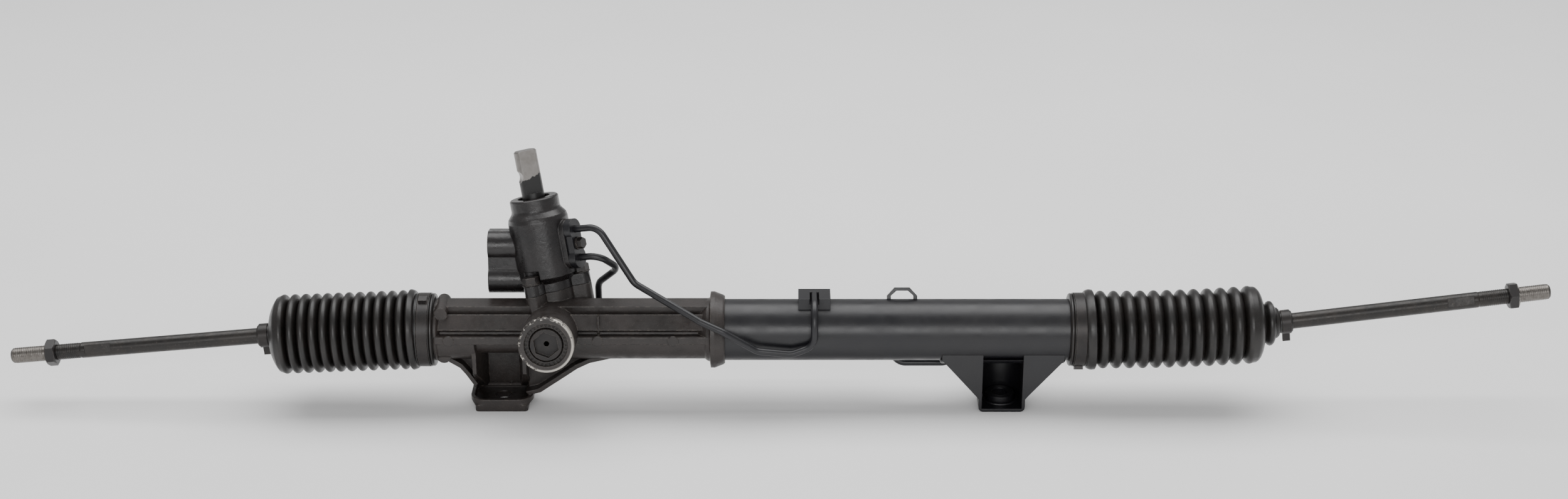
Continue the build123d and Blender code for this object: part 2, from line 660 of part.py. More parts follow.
with BuildPart() as rack_housing:
    # foot: slab and tray, leg with its pocket
    with BuildSketch(Plane.XY):
        RectangleRounded(2 * foot_half, foot_depth, foot_corner)
    extrude(amount=foot_floor)
    with BuildSketch(Plane.XY.offset(foot_floor - 1.5)):
        RectangleRounded(2 * foot_half, foot_depth, foot_corner)
    with BuildSketch(Plane.XY.offset(foot_floor + 1.0)):
        RectangleRounded(2 * rim_half, foot_depth, rim_corner)
    loft()
    with BuildSketch(Plane.XY.offset(foot_floor + 1.0)):
        RectangleRounded(2 * rim_half, foot_depth, rim_corner)
    extrude(amount=foot_height - foot_floor - 1.0)
    with BuildSketch(end_view.offset(-leg_half)):
        Polygon(
            (leg_front, 0), (leg_front, leg_knee), (8, leg_foot - 1), (leg_back, leg_foot - 1),
            (leg_back, 0), align=None,
        )
    extrude(amount=2 * leg_half)
    with BuildSketch(Plane.XY.offset(foot_floor)):
        RectangleRounded(2 * (rim_half - rim_wall), foot_depth - 2 * rim_wall, rim_corner - rim_wall)
    extrude(amount=foot_height - foot_floor, mode=Mode.SUBTRACT)
    with BuildSketch(Plane.XY.offset(foot_height)):
        Polygon(*pocket_outline, align=None)
    extrude(amount=rack_height - foot_height - 5.0, mode=Mode.SUBTRACT)
    # key rib on the pocket's back wall
    with BuildSketch(front_view.offset(-pocket_depth - 1)):
        with Locations((5.0, -45.0)):
            SlotOverall(16.0, 5.0, rotation=90)
    extrude(amount=3.0)
    # webs from the foot to the barrel: thin plates with a wide edge
    for edge, inner, shift in ((left_web, -15.0, 2.0), (right_web, 0.0, -2.0)):
        with BuildSketch(front_view.offset(-web_thickness / 2)):
            Polygon(*edge, (edge[-1][0], inner), (edge[0][0], inner), align=None)
        extrude(amount=web_thickness)
        with BuildSketch(front_view.offset(-11.0)):
            Polygon(*edge, *[(x + shift, z + web_edge) for x, z in reversed(edge)], align=None)
        extrude(amount=22.0)
    # barrel with its rails
    with BuildSketch(end_view.offset(barrel_left)):
        barrel_outline()
    extrude(amount=tube_seat_start - barrel_left)
    # the foot's pocket reaches up to the front rib, past the bare core tube
    with BuildSketch(Plane.XY.offset(foot_height)):
        Polygon(*pocket_outline, align=None)
    extrude(amount=rack_height + rib_level - rib_thickness / 2 - foot_height, mode=Mode.SUBTRACT)
    with BuildSketch(rack_section):
        band(-pocket_front - 1, pocket_front + 1, 0, recess_radius)
    revolve(axis=rack_axis)
    # collar, shoulder and boot spigot, turned about the rack axis
    collar_r = collar_diameter / 2
    with BuildSketch(rack_section):
        Polygon(
            (collar_start - 9, 0), (collar_start - 9, recess_radius), (collar_start - 2.5, tube_radius),
            (collar_start, tube_radius + 1.2), (collar_start + 0.8, collar_r), (collar_start + 4, collar_r),
            (collar_start + 8.5, collar_r - 1.8), (collar_end - 1.4, tube_radius + 3.4),
            (collar_end, tube_radius + 2.4), (collar_end, 0), align=None,
        )
        Polygon(
            (spigot_left, 0), (spigot_left, tube_radius), (barrel_left + 1.0, tube_radius),
            (barrel_left + 2.0, tube_radius - 1.0), (barrel_left + 4.0, recess_radius),
            (barrel_left + 4.0, 0), align=None,
        )
    revolve(axis=rack_axis)
    # yoke boss
    with BuildSketch(yoke_section):
        Polygon(
            (0, 0), (0, yoke_boss_diameter / 2), (yoke_boss_length - 1, yoke_boss_diameter / 2),
            (yoke_boss_length, yoke_boss_diameter / 2 - 1), (yoke_boss_length, 0), align=None,
        )
    revolve(axis=yoke_axis)
    # pinion tower with three bolt lugs
    with BuildSketch(pinion_section):
        Polygon(
            (pinion_foot - 5, 0), (pinion_foot - 5, 12.5), (pinion_foot - 1, 14.5), (-8, 16.5),
            (0, tower_radius), (tower_top, tower_radius), (tower_top, 0), align=None,
        )
    revolve(axis=pinion_axis)
    with BuildSketch(valve_foot):
        with PolarLocations(lug_circle / 2, 3, start_angle=lug_start):
            SlotCenterToCenter(lug_circle, lug_width)
    extrude(amount=-17.0)
    # round bosses at the pinion end, ejector pads and a small rib in the upper pocket
    for at, level, radius in ((-44.9, 20.3, 5.3), (-44.1, -16.0, 6.0)):
        with BuildSketch(front_view.offset(-13.0)):
            with Locations((at, level)):
                Circle(radius)
        extrude(amount=29.0)
    with BuildSketch(front_view.offset(rib_reach - 1)):
        with Locations((-38.7, rib_level), (79.0, rib_level), (138.5, rib_level)):
            Circle(pad_radius)
    extrude(amount=1 + pad_proud)
    with BuildSketch(front_view.offset(recess_radius - 6)):
        with Locations((79.5, 11.0)):
            Rectangle(1.6, 16.0)
    extrude(amount=7.5)
    # bores
    with BuildSketch(rack_section):
        band(spigot_left, stop_face, 0, spigot_bore / 2)
        band(stop_face, bush_span[1], 0, bush_radius)
        band(bush_span[1], tube_seat_start, 0, barrel_bore / 2)
        band(tube_seat_start, collar_end, 0, tube_radius)
    revolve(axis=rack_axis, mode=Mode.SUBTRACT)
    with BuildSketch(yoke_section):
        band(0, yoke_boss_length, 0, yoke_diameter / 2)
    revolve(axis=yoke_axis, mode=Mode.SUBTRACT)
    with BuildSketch(pinion_section):
        band(lower_bearing[0] - 1.5, lower_bearing[1], 0, lower_bearing_outer / 2)
        band(lower_bearing[1], upper_bearing[0] - 1.5, 0, pinion_bore / 2)
        band(upper_bearing[0] - 1.5, upper_bearing[0], 0, pinion_bore / 2 + 1.5)
        band(upper_bearing[0], tower_top, 0, upper_bearing_outer / 2)
    revolve(axis=pinion_axis, mode=Mode.SUBTRACT)
    with BuildSketch(valve_foot):
        with PolarLocations(lug_circle, 3, start_angle=lug_start):
            Circle(bolt_diameter / 2)
    extrude(amount=-bolt_depth, mode=Mode.SUBTRACT)
    with BuildSketch(Plane.XY):
        Circle(mount_hole / 2)
    extrude(amount=foot_floor, mode=Mode.SUBTRACT)
finish(rack_housing, "rack_housing")

with BuildPart() as rack_bush:
    with BuildSketch(rack_section):
        band(bush_span[0], bush_span[1], rack_radius + run_fit, bush_radius)
    revolve(axis=rack_axis)
finish(rack_bush, "rack_bush")

# ================================================================ yoke set
yoke_back = rack_radius + yoke_length
ring_inner = 13.6
ring_notches = 32
plug_face = yoke_boss_length - 1.2
ring_face = yoke_boss_length - 2.2
plug_flange = (ring_face - 13.0, ring_face - 6.0)
spring_wire = 3.6
spring_radius = 9.0

with BuildPart() as rack_yoke:
    with BuildSketch(yoke_section):
        band(4.0, yoke_back, 0, yoke_diameter / 2 - run_fit)
        band(yoke_back - 12.0, yoke_back, 0, spring_radius + spring_wire)
        with Locations((yoke_back - 4.0, yoke_diameter / 2)):
            Rectangle(3.0, 2 * 1.8, mode=Mode.SUBTRACT)
    revolve(axis=yoke_axis)
    with BuildSketch(across(yoke_origin, yoke_side, x_axis, yoke_back)):
        Circle(spring_radius + spring_wire / 2 + 0.6)
    extrude(amount=-12.0, mode=Mode.SUBTRACT)
    with BuildSketch(rack_section):
        band(0, 2 * yoke_x, 0, rack_radius + run_fit + 1.0)
    revolve(axis=rack_axis, mode=Mode.SUBTRACT)
finish(rack_yoke, "rack_yoke")

with BuildPart() as yoke_pad:
    with BuildSketch(rack_section):
        band(yoke_x - 12.0, yoke_x + 12.0, rack_radius + run_fit, rack_radius + run_fit + 1.0)
    revolve(axis=rack_axis)
    with BuildSketch(across(yoke_origin, yoke_side, x_axis, 5.0)):
        Rectangle(24.0, 22.0)
    extrude(amount=rack_radius, mode=Mode.INTERSECT)
finish(yoke_pad, "yoke_pad")

with BuildPart() as yoke_seal:
    with BuildSketch(yoke_section):
        band(yoke_back - 5.3, yoke_back - 2.7, yoke_diameter / 2 - 1.8, yoke_diameter / 2)
    revolve(axis=yoke_axis)
finish(yoke_seal, "yoke_seal")

spring_start = yoke_back - 12.0
spring_length = plug_flange[0] - spring_start
spring_turns = 3.0
with BuildPart() as yoke_spring:
    rise = spring_length - spring_wire - 0.04
    spring_foot = yoke_origin + yoke_side * (spring_start + spring_wire / 2 + 0.02)
    with BuildLine():
        coil = Helix(
            pitch=rise / spring_turns, height=rise, radius=spring_radius,
            center=spring_foot, direction=yoke_side,
        )
    with BuildSketch(Plane(origin=coil @ 0, z_dir=coil % 0)):
        Circle(spring_wire / 2)
    sweep(path=coil, is_frenet=True)
finish(yoke_spring, "yoke_spring")

with BuildPart() as yoke_plug:
    with BuildSketch(yoke_section):
        Polygon(
            (plug_flange[0], 0), (plug_flange[0], yoke_diameter / 2),
            (plug_flange[1], yoke_diameter / 2), (plug_flange[1], ring_inner - 0.6),
            (plug_face - 0.8, ring_inner - 0.6), (plug_face, ring_inner - 1.4), (plug_face, 0),
            align=None,
        )
    revolve(axis=yoke_axis)
    with BuildSketch(across(yoke_origin, yoke_side, x_axis, plug_face)):
        RegularPolygon(plug_hex / 2, 6, major_radius=False, rotation=-20)
    extrude(amount=-plug_recess, mode=Mode.SUBTRACT)
    with BuildSketch(across(yoke_origin, yoke_side, x_axis, plug_face)):
        Circle(2.1)
    extrude(amount=-plug_length, mode=Mode.SUBTRACT)
finish(yoke_plug, "yoke_plug")

with BuildPart() as yoke_lock_ring:
    with BuildSketch(across(yoke_origin, yoke_side, x_axis, plug_flange[1])):
        Circle(yoke_diameter / 2)
        Circle(ring_inner, mode=Mode.SUBTRACT)
    extrude(amount=ring_face - plug_flange[1])
    with BuildSketch(across(yoke_origin, yoke_side, x_axis, ring_face)):
        with PolarLocations(yoke_diameter / 2 - 1.0, ring_notches):
            Rectangle(2.6, 1.5)
    extrude(amount=-1.0, mode=Mode.SUBTRACT)
finish(yoke_lock_ring, "yoke_lock_ring")

# ================================================================ cylinder
with BuildPart() as cylinder_tube:
    with BuildSketch(rack_section):
        band(tube_seat_start, tube_end, tube_bore_radius, tube_radius)
    revolve(axis=rack_axis)
finish(cylinder_tube, "cylinder_tube")

inner_seal_start = inner_seal_end - inner_seal_length
with BuildPart() as inner_seal:
    with BuildSketch(rack_section):
        band(inner_seal_start, inner_seal_end, rack_radius + run_fit, tube_bore_radius)
        with Locations((inner_seal_end, 17.0)):
            Rectangle(6.0, 3.0, mode=Mode.SUBTRACT)
    revolve(axis=rack_axis)
finish(inner_seal, "inner_seal")

with BuildPart() as inner_seal_seat:
    with BuildSketch(rack_section):
        band(inner_seal_start - inner_seat_length, inner_seal_start, rack_radius + 0.6, tube_bore_radius)
        with Locations((inner_seal_start - inner_seat_length, rack_radius + 0.6)):
            Rectangle(24.0, 6.0, mode=Mode.SUBTRACT)
    revolve(axis=rack_axis)
finish(inner_seal_seat, "inner_seal_seat")

with BuildPart() as end_bush:
    with BuildSketch(rack_section):
        band(end_bush_start, end_bush_start + end_bush_length, rack_radius + run_fit, tube_bore_radius)
        with Locations((end_bush_start + 6.0, tube_bore_radius)):
            Rectangle(2.8, 2 * 2.0, mode=Mode.SUBTRACT)
        with Locations((end_bush_start, rack_radius)):
            Rectangle(2 * 6.0, 2 * 5.0, mode=Mode.SUBTRACT)
    revolve(axis=rack_axis)
finish(end_bush, "end_bush")

with BuildPart() as end_seal:
    with BuildSketch(rack_section):
        band(end_bush_start + 0.2, end_bush_start + 6.0, rack_radius + run_fit, rack_radius + 5.0)
    revolve(axis=rack_axis)
finish(end_seal, "end_seal")

with BuildPart() as end_bush_ring:
    with BuildSketch(rack_section):
        band(end_bush_start + 4.7, end_bush_start + 7.3, tube_bore_radius - 2.0, tube_bore_radius)
    revolve(axis=rack_axis)
finish(end_bush_ring, "end_bush_ring")

with BuildPart() as end_retainer:
    at = end_bush_start + end_bush_length
    with BuildSketch(rack_section):
        band(at, at + 1.5, tube_bore_radius - 3.0, tube_bore_radius)
    revolve(axis=rack_axis)
finish(end_retainer, "end_retainer")

# ================================================================ bracket
bracket_wall_top = 51.0
bracket_corner = 4.0
gusset_wide = 48.5
gusset_top = 45.5
gusset_low = 13.5
gusset_front = -21.0
saddle_level = -18.0    # the saddle wraps the tube below this, from the rack axis
drain_height = 5.0
saddle_radius = tube_radius + bracket_sheet

# pressed cup, open to the front
with BuildPart() as cup:
    with BuildSketch(Plane.XY):
        with Locations((mount_spacing, 0)):
            Circle(bracket_half)
            Rectangle(2 * bracket_half, -gusset_front, align=(Align.CENTER, Align.MAX))
    extrude(amount=bracket_wall_top)
    low_edges = cup.faces().sort_by(Axis.Z)[0].edges().sort_by(Axis.Y)[1:]
    fillet(low_edges, bracket_corner)
    with BuildSketch(Plane.XY.offset(bracket_sheet)):
        with Locations((mount_spacing, 0)):
            Circle(bracket_half - bracket_sheet)
            Rectangle(2 * (bracket_half - bracket_sheet), -gusset_front, align=(Align.CENTER, Align.MAX))
    extrude(amount=bracket_wall_top, mode=Mode.SUBTRACT)

with BuildPart() as mount_bracket:
    # saddle on the tube
    with BuildSketch(rack_section):
        band(mount_spacing - gusset_wide, mount_spacing + gusset_wide, tube_radius, saddle_radius)
    revolve(axis=rack_axis)
    with BuildSketch(end_view.offset(mount_spacing - gusset_wide - 1)):
        with Locations((0, saddle_level)):
            Rectangle(4 * saddle_radius, 4 * saddle_radius, align=(Align.CENTER, Align.MIN))
    extrude(amount=2 * gusset_wide + 2, mode=Mode.SUBTRACT)
    add(cup.part)
    # gusset wings beside the cup
    with BuildSketch(Plane(origin=(mount_spacing, gusset_front, 0), x_dir=x_axis, z_dir=(0, -1, 0))):
        for side in (-1, 1):
            Polygon(
                (side * (bracket_half - 1.0), bracket_wall_top), (side * gusset_wide, bracket_wall_top),
                (side * gusset_wide, gusset_top), (side * (bracket_half + 2.0), gusset_low),
                (side * (bracket_half - 1.0), gusset_low - 4), align=None,
            )
    extrude(amount=-bracket_sheet)
    with BuildSketch(rack_section):
        band(mount_spacing - 2 * gusset_wide, mount_spacing + 2 * gusset_wide, 0, tube_radius)
    revolve(axis=rack_axis, mode=Mode.SUBTRACT)
    with BuildSketch(Plane.XY):
        with Locations((mount_spacing, 0)):
            Circle(collar_ring / 2)
    extrude(amount=bracket_sheet, mode=Mode.SUBTRACT)
    # drain slot low in the wall
    with BuildSketch(Plane(origin=(mount_spacing, 30.0, 0), x_dir=x_axis, z_dir=(0, -1, 0))):
        with Locations((-bracket_half + bracket_sheet + 0.8, drain_height)):
            SlotOverall(4.0, 1.6, rotation=90)
    extrude(amount=30.0, mode=Mode.SUBTRACT)
finish(mount_bracket, "mount_bracket")

with BuildPart() as bracket_collar:
    with BuildSketch(Plane.XY):
        with Locations((mount_spacing, 0)):
            Circle(collar_ring / 2)
            Circle(mount_hole / 2, mode=Mode.SUBTRACT)
    extrude(amount=collar_height)
finish(bracket_collar, "bracket_collar")

clip_angle = 112.0
clip_dir = Vector(0, -cos(radians(clip_angle)), sin(radians(clip_angle)))
clip_plane = Plane(origin=rack_origin, x_dir=x_axis, z_dir=x_axis.cross(clip_dir))
with BuildPart() as tube_clip:
    with BuildSketch(clip_plane):
        Polygon((308.0, 22), (308.0, 27), (314.0, 33.5), (326.0, 33.5), (332.0, 27), (332.0, 22), align=None)
        Polygon((311.0, 22), (311.0, 27), (315.5, 31.0), (324.5, 31.0), (329.0, 27), (329.0, 22),
                align=None, mode=Mode.SUBTRACT)
    extrude(amount=3.5, both=True)
    with BuildSketch(rack_section):
        band(300, 340, 0, tube_radius)
    revolve(axis=rack_axis, mode=Mode.SUBTRACT)
finish(tube_clip, "tube_clip")

# ================================================================ pipes
block_half = 12.7
block_top = 31.5
block_front = -11.0     # along the tube's wall, towards the incoming pipe
block_back = 9.0
slot_half = 3.6
slot_floor = 26.4
short_bend = 12.0
long_bend = 10.5
port_turn = 18.0
turn_start = 10.0       # where the pipe starts to turn over into its port, above the rack axis


def block_plane(at, angle, way):
    """Plane square to the rack at a port; local y points out of the tube there."""
    outward = Vector(0, -cos(radians(angle)), sin(radians(angle)))
    return Plane(
        origin=rack_origin + x_axis * at,
        x_dir=outward.cross(x_axis) * way, z_dir=x_axis * way,
    )


port_one_plane = block_plane(port_one_x, 90.0, 1)
port_two_plane = block_plane(port_two_x, 180.0, -1)

with BuildPart() as port_blocks:
    for plane in (port_one_plane, port_two_plane):
        with BuildSketch(plane.offset(-block_half)):
            with Locations(((block_front + block_back) / 2, (tube_radius + block_top) / 2 - 2)):
                Rectangle(block_back - block_front, block_top - tube_radius + 4)
        extrude(amount=2 * block_half)
        with BuildSketch(plane.offset(-slot_half)):
            with Locations((block_front / 2 - 1 + pipe_radius / 2, slot_floor + 10)):
                Rectangle(-block_front + 2 + pipe_radius, 20)
        extrude(amount=2 * slot_half, mode=Mode.SUBTRACT)
    with BuildSketch(rack_section):
        band(port_one_x - 30, port_two_x + 30, 0, tube_radius)
    revolve(axis=rack_axis, mode=Mode.SUBTRACT)
finish(port_blocks, "port_blocks")

pipe_line = slot_floor + pipe_radius        # pipe centre above the rack axis at a port
pipe_back = 33.5                            # pipe centre behind the rack axis
pipe_low = -33.5                            # pipe centre where it dips under the tube
short_start = out_centre + pinion_dir * (out_spacing / 2)
long_start = out_centre - pinion_dir * (out_spacing / 2)
pipe_entry = 4.0

short_bends = [
    short_start - out_dir * pipe_entry,
    short_start + out_dir * 27.0,
    rack_origin + Vector(108.0, -4.0, 42.0),
    rack_origin + Vector(collar_start - 6.5, -28.5, 19.6),
    rack_origin + Vector(collar_end - 2.0, -34.0, 14.0),
    rack_origin + Vector(port_one_x - 45.0, -31.0, -4.5),
    rack_origin + Vector(port_one_x - 18.0, -pipe_line, -8.0),
    rack_origin + Vector(port_one_x, -pipe_line, -1.0),
    rack_origin + Vector(port_one_x, -pipe_line, turn_start),
]
short_end = [
    rack_origin + Vector(port_one_x, -pipe_line, turn_start),
    rack_origin + Vector(port_one_x, -pipe_line, pipe_line),
    rack_origin + Vector(port_one_x, pipe_radius - seat_gap, pipe_line),
]
long_bends = [
    long_start - out_dir * pipe_entry,
    long_start + out_dir * 23.0,
    rack_origin + Vector(94.0, 20.0, 45.0),
    rack_origin + Vector(76.5, pipe_back, 26.0),
    rack_origin + Vector(76.5, pipe_back, -8.0),
    rack_origin + Vector(port_two_x - 131.0, pipe_back, -8.0),
    rack_origin + Vector(port_two_x - 109.0, 9.0, pipe_low),
    rack_origin + Vector(port_two_x - 71.0, 9.0, pipe_low),
    rack_origin + Vector(port_two_x - 43.0, pipe_line, -24.0),
    rack_origin + Vector(port_two_x, pipe_line, -24.0),
    rack_origin + Vector(port_two_x, pipe_line, pipe_radius - seat_gap),
]

with BuildPart() as pipe_short:
    with BuildLine() as short_route:
        FilletPolyline(*short_bends, radius=short_bend)
        FilletPolyline(*short_end, radius=port_turn)
    with BuildSketch(Plane(origin=short_bends[0], z_dir=out_dir)):
        Circle(pipe_radius)
    sweep(path=short_route.wires()[0])
finish(pipe_short, "pipe_short")

with BuildPart() as pipe_long:
    with BuildLine() as long_route:
        FilletPolyline(*long_bends, radius=long_bend)
    with BuildSketch(Plane(origin=long_bends[0], z_dir=out_dir)):
        Circle(pipe_radius)
    sweep(path=long_route.wires()[0])
finish(pipe_long, "pipe_long")

with BuildPart() as pipe_plate:
    with BuildSketch(out_plane):
        with Locations((-out_spacing / 2, 0), (out_spacing / 2, 0)):
            Circle(out_lobe)
        Rectangle(out_spacing, 2 * out_lobe - 3)
        with Locations((-out_spacing / 2, 0), (out_spacing / 2, 0)):
            Circle(pipe_radius, mode=Mode.SUBTRACT)
        Circle(plate_bolt / 2 + seat_gap, mode=Mode.SUBTRACT)
    extrude(amount=plate_thickness)
finish(pipe_plate, "pipe_plate")

with BuildPart() as pipe_plate_bolt:
    with BuildSketch(out_plane.offset(-plate_bolt_depth)):
        Circle(plate_bolt / 2)
    extrude(amount=plate_bolt_depth + plate_thickness)
    with BuildSketch(out_plane.offset(plate_thickness)):
        Circle(5.2)
    extrude(amount=1.2)
    with BuildSketch(out_plane.offset(plate_thickness + 1.2)):
        RegularPolygon(4.0, 6, major_radius=False)
    extrude(amount=4.2)
finish(pipe_plate_bolt, "pipe_plate_bolt")

with BuildPart() as pipe_rings:
    with BuildSketch(out_plane):
        with Locations((-out_spacing / 2, 0), (out_spacing / 2, 0)):
            Circle(pipe_radius + 1.0)
            Circle(pipe_radius, mode=Mode.SUBTRACT)
    extrude(amount=-1.9)
finish(pipe_rings, "pipe_rings")

# ================================================================ ball joints, rods, boots
ball_radius = ball_diameter / 2
seat_outer = ball_radius + seat_wall
socket_inner = seat_outer + run_fit
socket_radius = socket_diameter / 2
socket_foot = -(socket_base - washer_thickness)
socket_flats = 32.0
stud_length = 24.0
stud_radius = rack_stub_bore / 2 - run_fit
thread_radius = thread_diameter / 2
thread_mid_radius = thread_mid_diameter / 2
rod_radius = rod_diameter / 2
up = Vector(0, 0, 1)
facing = Vector(0, -cos(radians(25)), sin(radians(25)))
fold_flat = 0.9

sides = (
    ("left", -1, left_ball_x, left_rod_drop, left_nut_at, left_neck_at, left_cuff, left_bead,
     left_fold_pitch),
    ("right", 1, right_ball_x, right_rod_rise, right_nut_at, right_neck_at, right_cuff, right_bead,
     right_fold_pitch),
)
boot_ends = {
    "left": [(0, 29.6), (3.8, 24.8), (6.3, 19.5), (7.4, 14.0), (7.8, boot_neck_radius)],
    "right": [(0, 28.6), (4.2, 21.0), (7.2, 15.6), (8.6, 15.6), (12.1, 17.8), (15.4, 13.6),
              (17.6, 11.8), (19.4, boot_neck_radius)],
}
boot_hollows = {
    "left": [(0, 28.0), (3.0, 23.8), (5.2, 18.6), (6.0, 13.4), (6.4, boot_neck_radius - boot_wall)],
    "right": [(0, 26.8), (3.0, 20.3), (6.2, 14.2), (8.8, 14.2), (12.1, 16.3), (14.6, 12.4),
              (16.6, 10.4), (18.0, boot_neck_radius - boot_wall)],
}
clamp_ears = {"left": Vector(0, -0.25, 0.97), "right": Vector(0, -0.42, -0.91)}

for name, way, ball_x, angle, nut_at, neck_at, cuff_at, bead_at, fold_pitch in sides:
    out = x_axis * way
    ball = rack_origin + x_axis * ball_x
    rod_dir = Vector(way * cos(radians(angle)), 0, way * sin(radians(angle)))
    rod_up = Vector(-sin(radians(angle)), 0, cos(radians(angle)))
    ball_section = section(ball, out, up)
    rod_section = section(ball, rod_dir, rod_up)
    neck_place = ball + rod_dir * neck_at
    free_thread = nut_at + nut_height + seat_gap

    with BuildPart() as ball_socket:
        with BuildSketch(ball_section):
            Polygon(
                (socket_foot, 0), (socket_foot, socket_radius - 2), (socket_foot + 2, socket_radius),
                (2, socket_radius), (6, socket_radius - 1.0),
                (socket_radius * cos(radians(mouth_angle)), socket_radius * sin(radians(mouth_angle))),
                (0, 0), align=None,
            )
            Circle(socket_inner, mode=Mode.SUBTRACT)
            band(-socket_base - stud_length, socket_foot, 0, stud_radius)
        revolve(axis=Axis(ball, out))
        with BuildSketch(across(ball, out, up, socket_foot)):
            for flat in (-1, 1):
                with Locations((flat * (socket_flats / 2 + 3), 0)):
                    Rectangle(6, socket_diameter)
        extrude(amount=9.0, mode=Mode.SUBTRACT)
    finish(ball_socket, f"ball_socket_{name}")

    with BuildPart() as lock_washer:
        with BuildSketch(across(ball, out, up, -socket_base)):
            Circle(socket_radius - 1.0)
            Rectangle(socket_flats, socket_diameter, mode=Mode.INTERSECT)
            Circle(rack_stub_bore / 2, mode=Mode.SUBTRACT)
        extrude(amount=washer_thickness)
    finish(lock_washer, f"lock_washer_{name}")

    with BuildPart() as ball_seat:
        with BuildSketch(ball_section):
            Circle(seat_outer)
            Circle(ball_radius + run_fit, mode=Mode.SUBTRACT)
            Polygon(
                (0, 0), (40 * cos(radians(seat_angle)), 40 * sin(radians(seat_angle))),
                (40, 0), align=None, mode=Mode.SUBTRACT,
            )
            with Locations((0, -20 + 3.0)):
                Rectangle(60, 40, mode=Mode.SUBTRACT)
        revolve(axis=Axis(ball, out))
    finish(ball_seat, f"ball_seat_{name}")

    with BuildPart() as tie_rod:
        with BuildSketch(rod_section):
            Circle(ball_radius)
            with Locations((0, -20)):
                Rectangle(60, 40, mode=Mode.SUBTRACT)
            Polygon(
                (0, 0), (0, neck_diameter / 2), (28, neck_diameter / 2), (31, rod_radius),
                (thread_start - 1, rod_radius), (thread_start, thread_radius),
                (nut_at, thread_radius), (nut_at, thread_mid_radius - run_fit),
                (free_thread, thread_mid_radius - run_fit), (free_thread, thread_radius),
                (rod_length - 1.5, thread_radius), (rod_length, thread_radius - 1.3),
                (rod_length, 0), align=None,
            )
        revolve(axis=Axis(ball, rod_dir))
        flat_face = rod_dir.cross(facing.cross(rod_dir)).normalized()
        with BuildSketch(across(ball, rod_dir, flat_face, flats_at[0])):
            for flat in (-1, 1):
                with Locations((flat * (rod_flats / 2 + 3), 0)):
                    Rectangle(6, rod_diameter)
        extrude(amount=flats_at[1] - flats_at[0], mode=Mode.SUBTRACT)
    finish(tie_rod, f"tie_rod_{name}")

    with BuildPart() as jam_nut:
        with BuildSketch(across(ball, rod_dir, rod_up, nut_at)):
            RegularPolygon(nut_across / 2, 6, major_radius=False, rotation=12)
            Circle(thread_mid_radius, mode=Mode.SUBTRACT)
        extrude(amount=nut_height)
    finish(jam_nut, f"jam_nut_{name}")

    # boot: cuff on the housing, tilted bellows, neck on the rod
    bellows_start = rack_origin + x_axis * bead_at
    bellows_end = neck_place - rod_dir * (boot_neck_length / 2)
    bellows_dir = (bellows_end - bellows_start).normalized()
    bellows_up = Vector(0, 1, 0).cross(bellows_dir) * -way
    end_line = boot_ends[name]
    folds_end = (bellows_end - bellows_start).length - end_line[-1][0]
    folds_start = folds_end - boot_folds * fold_pitch
    outside = [(-4.0, 0), (-4.0, cuff_radius - 0.2), (-1.6, cuff_radius - 0.2),
               (-1.4, boot_bead_radius), (1.0, boot_bead_radius)]
    inside = [(-5.0, 0), (-5.0, cuff_bore - 0.3), (-3.4, cuff_bore - 0.3),
              (-3.2, cuff_bore + 0.7), (0.6, cuff_bore + 0.7)]
    for fold in range(boot_folds):
        root = folds_start + fold * fold_pitch
        crest = root + fold_pitch / 2
        outside += [
            (root - fold_flat / 2, boot_root_radius), (root + fold_flat / 2, boot_root_radius),
            (crest - fold_flat, boot_radius), (crest + fold_flat, boot_radius),
        ]
        inside += [
            (root, boot_root_radius - boot_wall), (crest, boot_radius - boot_wall),
        ]
    outside += [(folds_end + at, radius) for at, radius in end_line]
    outside += [(folds_end + end_line[-1][0], 0)]
    inside += [(folds_end + at, radius) for at, radius in boot_hollows[name]]
    inside += [(folds_end + boot_hollows[name][-1][0], 0)]

    with BuildPart() as boot:
        with BuildSketch(section(bellows_start, bellows_dir, bellows_up)):
            Polygon(*outside, align=None)
        revolve(axis=Axis(bellows_start, bellows_dir))
        with BuildSketch(section(rack_origin, out, up)):
            band(way * cuff_at, way * bead_at + 0.2, 0, cuff_radius)
        revolve(axis=Axis(rack_origin, out))
        with BuildSketch(section(neck_place, rod_dir, rod_up)):
            band(-boot_neck_length / 2 - 1, boot_neck_length / 2, 0, boot_neck_radius)
        revolve(axis=Axis(neck_place, rod_dir))
        with BuildSketch(section(rack_origin, out, up)):
            band(way * cuff_at - 1, way * bead_at - 0.5, 0, cuff_bore)
        revolve(axis=Axis(rack_origin, out), mode=Mode.SUBTRACT)
        with BuildSketch(section(bellows_start, bellows_dir, bellows_up)):
            Polygon(*inside, align=None)
        revolve(axis=Axis(bellows_start, bellows_dir), mode=Mode.SUBTRACT)
        with BuildSketch(section(neck_place, rod_dir, rod_up)):
            band(-boot_neck_length, boot_neck_length, 0, rod_radius + boot_fit)
        revolve(axis=Axis(neck_place, rod_dir), mode=Mode.SUBTRACT)
    finish(boot, f"boot_{name}")

    clamp_middle = way * cuff_at + cuff_length / 2
    with BuildPart() as boot_clamp_large:
        with BuildSketch(section(rack_origin, out, up)):
            band(clamp_middle - clamp_width / 2, clamp_middle + clamp_width / 2,
                 cuff_radius + boot_fit, cuff_radius + clamp_thickness)
        revolve(axis=Axis(rack_origin, out))
        with BuildSketch(across(rack_origin, out, clamp_ears[name].normalized(), clamp_middle - 3.5)):
            with Locations((cuff_radius + 1.9, 0)):
                Rectangle(2.8, 6.0)
        extrude(amount=7.0)
    finish(boot_clamp_large, f"boot_clamp_large_{name}")

